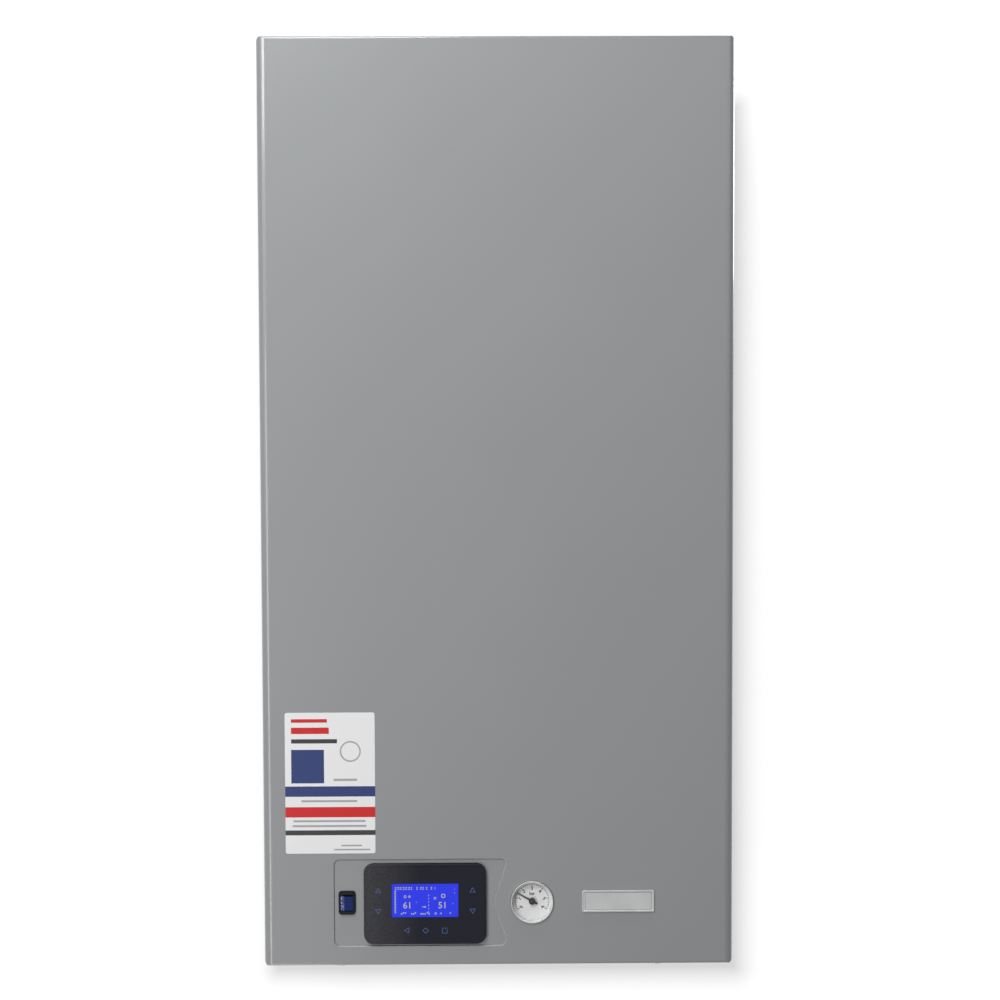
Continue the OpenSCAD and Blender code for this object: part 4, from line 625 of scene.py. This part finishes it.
finishes = {
    "wall_rail": (zinc, 0.3), "back_panel": (zinc, 0), "top_plate": (zinc, 0), "bottom_plate": (zinc, 0),
    "front_posts": (zinc, 0.3), "control_fascia": (zinc, 0), "electrical_tray": (zinc, 0),
    "heater_bracket": (zinc, 0), "wall_pads": (rubber("pad_rubber", 0.025), 1.0),
    "front_cover": (silver_paint(), 0.35), "cover_screws": (steel, 0.2),
    "cover_badge": (turned_metal("badge_plate", (0.58, 0.585, 0.59), 0.42, 0.25, 0.02), 0.25),
    "cover_label": (plain_label(), 0),
    "display_housing": (gloss_black("display_frame"), 0.6), "display_glass": (gloss_black("gloss_black"), 0),
    "lcd_panel": (lit_panel(), 0), "display_board": (circuit_board("display_circuit"), 0),
    "rocker_housing": (moulded("switch_black", 0.008, 0.34, Specular_Ior_Level=0.15), 0.5),
    "rocker_button": (rocker_lens(), 0.4),
    "gauge_case": (moulded("gauge_grey", (0.7, 0.71, 0.71), 0.38), 0.35), "gauge_dial": (printed_dial(), 0),
    "gauge_lens": (clear_lens(), 0), "gauge_needle": (printed_ink("needle_black"), 0),
    "capillary_tubes": (turned_metal("capillary_copper", (0.5, 0.23, 0.13), 0.36), 0),
    "thermostat_body": (moulded("dark_phenolic", (0.03, 0.022, 0.018), 0.4), 0.4),
    "reset_button": (red_plastic, 0.3),
    "main_board": (circuit_board("circuit_board"), 0.2), "board_components": (board_parts(), 0.3),
    "din_rail": (turned_metal("passivated_rail", (0.6, 0.56, 0.42), 0.35), 0.2),
    "contactor": (moulded("contactor_grey", (0.11, 0.115, 0.12), 0.45), 0.8),
    "contactor_plunger": (moulded("plunger_white", 0.7, 0.4), 0.5),
    "terminal_block": (moulded("terminal_grey", (0.34, 0.35, 0.34), 0.45), 0.4),
    "cable_glands": (black_plastic, 0.4),
    "live_wires": (insulation("brown_wire", (0.13, 0.045, 0.02)), 0),
    "neutral_wires": (insulation("blue_wire", (0.02, 0.09, 0.42)), 0),
    "earth_wires": (earth_insulation(), 0),
    "display_cable": (insulation("grey_cable", (0.26, 0.26, 0.27)), 0),
    "heater_vessel": (stainless, 0.4), "heater_jacket": (foam_jacket(), 1.5),
    "heating_elements": (element_metals(), 0),
    "air_vent_body": (brass, 0.4), "air_vent_cap": (black_plastic, 0.3),
    "expansion_vessel": (enamel("red_enamel", (0.42, 0.012, 0.01)), 0),
    "vessel_diaphragm": (rubber("diaphragm_rubber", 0.03), 0), "vessel_hose": (braid(), 0),
    "pump_volute": (cast_iron(), 0.8), "pump_motor": (enamel("motor_green", (0.012, 0.06, 0.045), 0.36), 0.8),
    "pump_rotor": (turned_metal("rotor_steel", 0.4, 0.35), 0), "plate_exchanger": (stainless, 0),
    "diverter_body": (brass, 0), "diverter_motor": (moulded("actuator_black", 0.02, 0.4), 0.8),
    "diverter_stem": (steel, 0), "safety_valve": (brass, 0), "safety_knob": (red_plastic, 0.5),
    "flow_sensor": (sensor_finish(), 0), "flow_turbine": (moulded("turbine_white", 0.7, 0.4), 0),
    "fill_valve": (brass, 0), "fill_knob": (moulded("blue_plastic", (0.012, 0.06, 0.36), 0.36), 0.5),
    "pipe_tails": (brass, 0), "copper_pipes": (copper, 0),
}
GLASS_SINK = 0.06
for name, (finish, soft) in finishes.items():
    dress(name, finish, soft, sink=GLASS_SINK if name == "display_glass" else 0.0)

# Marks on the display: outlines of six of its keys, and the seventh key's mark in six strokes

KEY_Y = box_of("display_glass")[0].y + GLASS_SINK
KEY_LINE, TRIANGLE_R, SQUARE_R = 0.5, 3.3, 3.0
LAST_KEY_X, LAST_KEY_Z = -50.9, 33.9
bm = bmesh.new()
for x, z, sides, turn in ((-113.7, 71.9, 3, 0), (-113.7, 52.9, 3, 180), (-24.6, 71.9, 3, 0),
                          (-24.6, 52.9, 3, 180), (-86.2, 34.3, 3, 90), (-69.0, 34.0, 4, 0)):
    ring_mark(bm, at(x, KEY_Y, z), TRIANGLE_R if sides == 3 else SQUARE_R, sides, KEY_LINE, turn, PRINT_T)
for width, height, right, up in ((4.6, 0.5, 0, -2.4), (0.5, 4.8, -2.3, 0), (0.5, 3.2, 2.3, -0.8),
                                 (1.6, 0.5, -1.5, 2.3), (0.5, 2.2, 0.5, 2.0), (0.5, 1.2, 2.3, 2.2)):
    box_at(bm, at(LAST_KEY_X + right, KEY_Y - PRINT_T / 2, LAST_KEY_Z + up), (width, PRINT_T, height))
add_piece("display_keys", bm, lit_mark("key_lines", (0.05, 0.085, 0.26), 0.75), body_of["display_glass"],
          "display_glass")

# What the lit panel shows: two numbers, a ruled line, and plain blocks and outlines for its symbols

PANEL_LOW, PANEL_HIGH = box_of("lcd_panel")
INK_T, NUMBER_SIZE, NUMBER_WEIGHT = 0.05, 8.6, 0.12


def on_panel(across, up, proud=0.03):
    """A place on the lit panel, by shares of its width and height, a little before its face."""
    size = PANEL_HIGH - PANEL_LOW
    return at(PANEL_LOW.x + size.x * across, PANEL_LOW.y - proud, PANEL_LOW.z + size.z * up)


def panel_block(bm, across, up, width, height):
    """A small block on the lit panel, by its middle and size."""
    box_at(bm, on_panel(across, up), (width, INK_T, height))


bm = bmesh.new()
for number, across in (("61", 0.235), ("51", 0.765)):
    written(bm, number, NUMBER_SIZE, NUMBER_WEIGHT, on_panel(across, 0.35), thick=INK_T)
panel_block(bm, 0.05, 0.47, 0.9, 22)
for k in range(9):
    panel_block(bm, 0.075, 0.14 + 0.08 * k, 0.5, 0.35)
# The top row of symbols: the place, width and height of each
for across, width, height in ((0.06, 1.6, 2.2), (0.1, 1.2, 2.8), (0.135, 1.8, 2.4), (0.18, 1.4, 3.0),
                              (0.22, 1.8, 2.2), (0.265, 1.2, 3.0), (0.3, 1.0, 2.2), (0.385, 0.6, 3.0),
                              (0.44, 1.2, 2.6), (0.475, 1.2, 2.6), (0.53, 1.0, 2.2), (0.6, 1.0, 2.6),
                              (0.655, 0.6, 1.2)):
    for side in (-1, 1):
        panel_block(bm, across, 0.87 + 0.028 * side, width, height * 0.3)
    panel_block(bm, across - 0.008, 0.87, 0.4, height)
# Outlined symbols: the place, radius and number of sides of each
for across, up, radius, sides in ((0.2, 0.62, 1.5, 6), (0.265, 0.62, 1.5, 4), (0.65, 0.57, 1.4, 5),
                                  (0.775, 0.64, 2.2, 8), (0.37, 0.45, 0.45, 8), (0.92, 0.41, 0.45, 8),
                                  (0.945, 0.84, 0.5, 4), (0.945, 0.73, 0.5, 4), (0.66, 0.11, 1.2, 5),
                                  (0.74, 0.11, 1.2, 3), (0.88, 0.12, 0.9, 4)):
    ring_mark(bm, on_panel(across, up, proud=0.0), radius, sides, radius * 0.4, 90, INK_T)
for across in (0.145, 0.175, 0.205, 0.3, 0.33, 0.355, 0.44, 0.47, 0.5, 0.535, 0.56):
    panel_block(bm, across, 0.1 + 0.03 * (int(across * 200) % 2), 1.1, 1.5)
for k in range(6):
    panel_block(bm, 0.555, 0.16 + 0.1 * k, 0.5, 1.6)
panel_block(bm, 0.48, 0.31, 3.0, 0.6)
ring_mark(bm, on_panel(0.502, 0.31, proud=0.0), 1.3, 3, 0.5, 0, INK_T)
add_piece("panel_figures", bm, lit_mark("panel_grey", (0.36, 0.37, 0.27)), body_of["lcd_panel"], "lcd_panel")

# Dial of the gauge: figures from 0 to 6, the unit, a tick every fifth of a bar, and a fine band outside them

DIAL_R = 18.4
DIAL_LOW, DIAL_HIGH = box_of("gauge_dial")
GAUGE_X, GAUGE_Z, DIAL_Y = DIAL_HIGH.x - DIAL_R, (DIAL_LOW.z + DIAL_HIGH.z) / 2, DIAL_LOW.y
ZERO_DEG, BAR_DEG, TICKS_PER_BAR, BARS = 210, 40, 5, 6
FINE_DEG, FINE_MARKS = 4, 60
FIGURE_SIZE, FIGURE_WEIGHT, FIGURE_RING, FIGURE_TURN = 4.3, 0.14, 11.7, 22


def on_dial(degrees, radius):
    """A place on the dial by its angle and radius, just proud of its face."""
    a = math.radians(degrees)
    return at(GAUGE_X + radius * math.cos(a), DIAL_Y - PRINT_T / 2, GAUGE_Z + radius * math.sin(a))


def dial_mark(bm, degrees, radius, length, width):
    """A stroke on the dial that points away from its middle."""
    made = box_at(bm, Vector((0, 0, 0)), (length, PRINT_T, width))
    bmesh.ops.transform(bm, verts=made, matrix=Matrix.Translation(on_dial(degrees, radius))
                        @ Matrix.Rotation(-math.radians(degrees), 4, "Y"))


bm = bmesh.new()
for bar in range(BARS + 1):
    written(bm, str(bar), FIGURE_SIZE, FIGURE_WEIGHT, on_dial(ZERO_DEG - BAR_DEG * bar, FIGURE_RING),
            turn=FIGURE_TURN * (BARS // 2 - bar))
written(bm, "bar", 4.2, 0.1, on_dial(90, 6.9), wide=0.95)
for tick in range(BARS * TICKS_PER_BAR + 1):
    radius, length, width = (14.9, 2.6, 0.6) if tick % TICKS_PER_BAR == 0 else (15.4, 1.4, 0.32)
    dial_mark(bm, ZERO_DEG - BAR_DEG // TICKS_PER_BAR * tick, radius, length, width)
for mark in range(FINE_MARKS):
    dial_mark(bm, ZERO_DEG - FINE_DEG // 2 - FINE_DEG * mark, 16.1, 0.3, 1.13)
add_piece("dial_figures", bm, printed_ink("dial_black"), body_of["gauge_dial"], "gauge_dial")

# Plain keyline in the badge's sunk field

LINE, LINE_T, LINE_SINK, LINE_RIGHT, LINE_UP = 0.3, 0.08, 0.46, 31.15, 8.3
low, high = box_of("cover_badge")
middle = (low + high) / 2
bm = bmesh.new()
for across, up, width, height in ((0, LINE_UP, 2 * LINE_RIGHT + LINE, LINE),
                                  (0, -LINE_UP, 2 * LINE_RIGHT + LINE, LINE),
                                  (-LINE_RIGHT, 0, LINE, 2 * LINE_UP + LINE),
                                  (LINE_RIGHT, 0, LINE, 2 * LINE_UP + LINE)):
    box_at(bm, at(middle.x + across, low.y + LINE_SINK, middle.z + up), (width, LINE_T, height))
add_piece("badge_keyline", bm, enamel("badge_line", (0.2, 0.21, 0.22), 0.4), body_of["cover_badge"],
          "cover_badge")

# Screws of the terminals and of the contactor


def slotted(bm, centre, radius, proud):
    """A cheese-head screw seen from the front, its slot left between two half heads on a lower disc."""
    slot, slot_floor, sides = 0.7, 0.45, 20
    for side in (-1, 1):
        made = stub(bm, centre, radius, -proud, sides)
        edges = list({e for v in made for e in v.link_edges})
        faces = list({f for v in made for f in v.link_faces})
        cut = bmesh.ops.bisect_plane(bm, geom=made + edges + faces, plane_no=(0, 0, -side), clear_outer=True,
                                     plane_co=centre + Vector((0, 0, side * slot * MM / 2)))["geom_cut"]
        bmesh.ops.holes_fill(bm, edges=[g for g in cut if isinstance(g, bmesh.types.BMEdge)])
    stub(bm, centre, radius, -proud * slot_floor, sides)


SCREW_PITCH, TERMINAL_SINK, CONTACTOR_STEP = 12, 4, 21
bm = bmesh.new()
low, high = box_of("terminal_block")
middle = (low + high) / 2
for k in range(6):
    for side in (-1, 1):
        spot = at(low.x + SCREW_PITCH * (k + 0.5), low.y + TERMINAL_SINK, middle.z + 12 * side)
        slotted(bm, spot, 2.6, 2.2)
low, high = box_of("contactor")
middle = (low + high) / 2
for k in (-1, 0, 1):
    for side in (-1, 1):
        spot = at(middle.x + SCREW_PITCH * k, low.y + CONTACTOR_STEP, middle.z + 30 * side)
        slotted(bm, spot, 2.9, 3.0)
add_piece("terminal_screws", bm, steel, "chassis", "terminal_block")

# Small parts on the main board: rows with gaps, where every fourth part is a larger one

PART_PITCH, PARTS_IN_ROW, FIRST_PART_X, PART_DEPTH, PART_PROUD = 6.1, 26, 6, 0.8, 0.3
low, _ = box_of("main_board")
bm = bmesh.new()
for row, up in enumerate((15.5, 20, 24.5, 29, 33.5, 62.5)):
    for k in range(PARTS_IN_ROW):
        if (k * 7 + row * 11) % 5 < 3:
            across = FIRST_PART_X + PART_PITCH * k + (row % 2) * 2
            width, height = (2.2, 1.3) if (k + row) % 4 else (3.4, 2.6)
            box_at(bm, at(low.x + across, low.y - PART_PROUD, low.z + up), (width, PART_DEPTH, height))
add_piece("board_small_parts", bm, moulded("small_black", 0.03, 0.35), "chassis", "board_components")

# Rivets along the posts and the back panel

RIVET_R, RIVET_FLAT, RIVET_IN, BACK_RIVET_Y, RIVET_TOP_Z = 2.4, 0.35, 10.5, -14, 855
low, high = box_of("front_posts")
bm = bmesh.new()
for side in (-1, 1):
    for k in range(7):
        for y, z in ((BACK_RIVET_Y, 70 + 120 * k), (low.y, 130 + 110 * k)):
            if z < RIVET_TOP_Z:
                spot = at(side * (high.x - RIVET_IN), y, z)
                bmesh.ops.create_uvsphere(bm, u_segments=14, v_segments=8, radius=RIVET_R * MM,
                                          matrix=Matrix.Translation(spot)
                                          @ Matrix.Diagonal((1, RIVET_FLAT, 1, 1)))
add_piece("chassis_rivets", bm, steel, "chassis", "front_posts")

# Tape over the seam of the heater's jacket: a strip bent round the jacket's front

TAPE_T, TAPE_SUNK, TAPE_SHORT, TAPE_START_DEG, TAPE_DEG = 0.55, 0.1, 4, -72, 13
low, high = box_of("heater_jacket")
middle = (low + high) / 2
inner = high.x - middle.x - TAPE_SUNK
outer = inner + TAPE_T
bottom, top = low.z + TAPE_SHORT, high.z - TAPE_SHORT
bm = bmesh.new()
corners = [bm.verts.new(at(middle.x + r, middle.y, z))
           for r, z in ((inner, bottom), (outer, bottom), (outer, top), (inner, top))]
start = bm.faces.new(corners)
jacket_axis = at(middle.x, middle.y, 0)
bmesh.ops.rotate(bm, cent=jacket_axis, matrix=Matrix.Rotation(math.radians(TAPE_START_DEG), 3, "Z"),
                 verts=corners)
bmesh.ops.spin(bm, geom=[start, *start.edges, *start.verts], cent=jacket_axis, axis=(0, 0, 1),
               angle=math.radians(TAPE_DEG), steps=6, use_duplicate=False)
bmesh.ops.recalc_face_normals(bm, faces=bm.faces)
add_piece("jacket_tape", bm, enamel("silver_tape", (0.5, 0.51, 0.52), 0.34), "chassis", "heater_jacket")

# The pump motor's bare plate and the four screws round it

PLATE_R, MOTOR_SCREW_RING, MOTOR_SCREW_SINK = 25, 38, 5
low, high = box_of("pump_motor")
motor_r = (high.z - low.z) / 2
motor_x, motor_z = low.x + motor_r, low.z + motor_r
bm = bmesh.new()
stub(bm, at(motor_x, low.y, motor_z), PLATE_R, -0.4, 64)
for k in range(4):
    a = math.radians(45 + 90 * k)
    across, up = MOTOR_SCREW_RING * math.cos(a), MOTOR_SCREW_RING * math.sin(a)
    stub(bm, at(motor_x + across, low.y + MOTOR_SCREW_SINK, motor_z + up), 3.0, -2.0, 18)
add_piece("motor_plate", bm, turned_metal("motor_aluminium", (0.6, 0.6, 0.61), 0.36), "chassis", "pump_motor",
          bevel=0.2)

# Wall and floor, white to the camera and clear to every other ray; from here on lengths are in metres

WALL_SIZE, FLOOR_SIZE, WALL_Y, FLOOR_Z = 12, 14, 0.0006, -1.25
WALL_PAINT, WALL_GLOW, FLOOR_PAINT, FLOOR_GLOW = 0.15, 0.98, 0.86, 0.82
SHADE_DEPTH, SHADE_REACH = 0.34, 0.038
SHADE_LEFT, SHADE_RIGHT, SHADE_BOTTOM, SHADE_TOP = -0.2415, 0.2612, -0.8906, 0.05


def case_shade(f):
    """How dim the wall is round the case: most at its right and lower edges, none a few centimetres off."""
    x, _, z = f.axes()
    across = (abs(x - (SHADE_LEFT + SHADE_RIGHT) / 2) - (SHADE_RIGHT - SHADE_LEFT) / 2).most(0)
    along = (abs(z - (SHADE_BOTTOM + SHADE_TOP) / 2) - (SHADE_TOP - SHADE_BOTTOM) / 2).most(0)
    near = f.spread((across * across + along * along).root(), 0.0, SHADE_REACH, 1.0, 0.0)
    return near * near * SHADE_DEPTH


def white_stage(name, paint, glow, shaded=False):
    """White paint for the wall and floor, seen from its front only and kept white by its glow."""
    f = Finish(name, paint, 0.9, Emission_Strength=glow, Specular_Ior_Level=0.0)
    f.set("Emission Color", (1, 1, 1, 1))
    if shaded:
        dim = case_shade(f)
        f.set("Base Color", f.mix(dim, paint, 0.0))
        f.set("Emission Color", f.mix(dim, 1.0, 0.0))
    clear = f.node("ShaderNodeBsdfTransparent")
    from_behind = f.node("ShaderNodeNewGeometry", out="Backfacing")
    seen = f.node("ShaderNodeLightPath", out="Is Camera Ray") * (1 - from_behind)
    shown = f.node("ShaderNodeMixShader", {}, {0: seen, 1: clear, 2: Flow(f.tree, f.shader.outputs[0])})
    f.tree.links.new(shown.socket, f.out.inputs[0])
    return f.material


def stage_sheet(name, size, place, material):
    """A flat square sheet of the stage."""
    bm = bmesh.new()
    bmesh.ops.create_grid(bm, x_segments=1, y_segments=1, size=size / 2, matrix=place)
    mesh = bpy.data.meshes.new(name)
    bm.to_mesh(mesh)
    bm.free()
    mesh.materials.append(material)
    obj = bpy.data.objects.new(name, mesh)
    bpy.context.scene.collection.objects.link(obj)


stage_sheet("wall", WALL_SIZE, Matrix.Translation((0, WALL_Y, 0)) @ STAND,
            white_stage("wall_white", WALL_PAINT, WALL_GLOW, shaded=True))
stage_sheet("floor", FLOOR_SIZE, Matrix.Translation((0, 0, FLOOR_Z)),
            white_stage("floor_white", FLOOR_PAINT, FLOOR_GLOW))

# World: white where the camera, metal and glass see it, and a low fill light otherwise

FILL = 0.085
world = bpy.data.worlds.new("studio")
world.use_nodes = True
bpy.context.scene.world = world
tree = world.node_tree
tree.nodes.clear()
rays = [node(tree, "ShaderNodeLightPath", out=name)
        for name in ("Is Camera Ray", "Is Glossy Ray", "Is Transmission Ray")]
seen = rays[0].most(rays[1]).most(rays[2])
back = node(tree, "ShaderNodeBackground", {}, {"Color": (1, 1, 1, 1), "Strength": seen * (1 - FILL) + FILL})
tree.links.new(back.socket, tree.nodes.new("ShaderNodeOutputWorld").inputs[0])

# Lights


def softbox(name, place, aim, size, watts):
    """A rectangular soft light at a place, turned towards a point."""
    lamp = bpy.data.lights.new(name, "AREA")
    lamp.shape = "RECTANGLE"
    lamp.size, lamp.size_y = size
    lamp.energy = watts
    obj = bpy.data.objects.new(name, lamp)
    bpy.context.scene.collection.objects.link(obj)
    obj.location = place
    obj.rotation_mode = "QUATERNION"
    obj.rotation_quaternion = (Vector(aim) - Vector(place)).to_track_quat("-Z", "Y")


softbox("upper_left_light", (-0.75, -1.8, 0.98), (0, -0.28, -0.37), (1.0, 1.0), 32)
softbox("left_strip", (-0.88, -1.6, -0.95), (-0.2, -0.27, -0.6), (0.24, 1.9), 9.6)
softbox("top_strip", (0, -0.5, 1.1), (0, -0.27, 0.07), (1.2, 0.2), 9.6)
softbox("back_light", (1.4, 1.5, 0.5), (0.1, -0.1, -0.4), (1.0, 1.0), 18)

# Camera, as the photo was taken: its place, its lens in millimetres and its three turns

EYE_PLACE, LENS, SENSOR = (-0.0131, -1.9627, -0.2766), 64.9, 36
YAW, PITCH, ROLL = math.radians(-0.534), math.radians(-2.82), math.radians(-0.199)
camera = bpy.data.cameras.new("camera")
camera.lens = LENS
camera.sensor_width = SENSOR
eye = bpy.data.objects.new("camera", camera)
bpy.context.scene.collection.objects.link(eye)
bpy.context.scene.camera = eye
ahead = Vector((-math.sin(YAW) * math.cos(PITCH), math.cos(YAW) * math.cos(PITCH), math.sin(PITCH)))
right = Vector((math.cos(YAW), math.sin(YAW), 0))
up = right.cross(ahead)
right, up = (right * math.cos(ROLL) + up * math.sin(ROLL), up * math.cos(ROLL) - right * math.sin(ROLL))
eye.matrix_world = Matrix.Translation(EYE_PLACE) @ Matrix((right, up, -ahead)).transposed().to_4x4()
bpy.context.scene.view_settings.view_transform = "Standard"
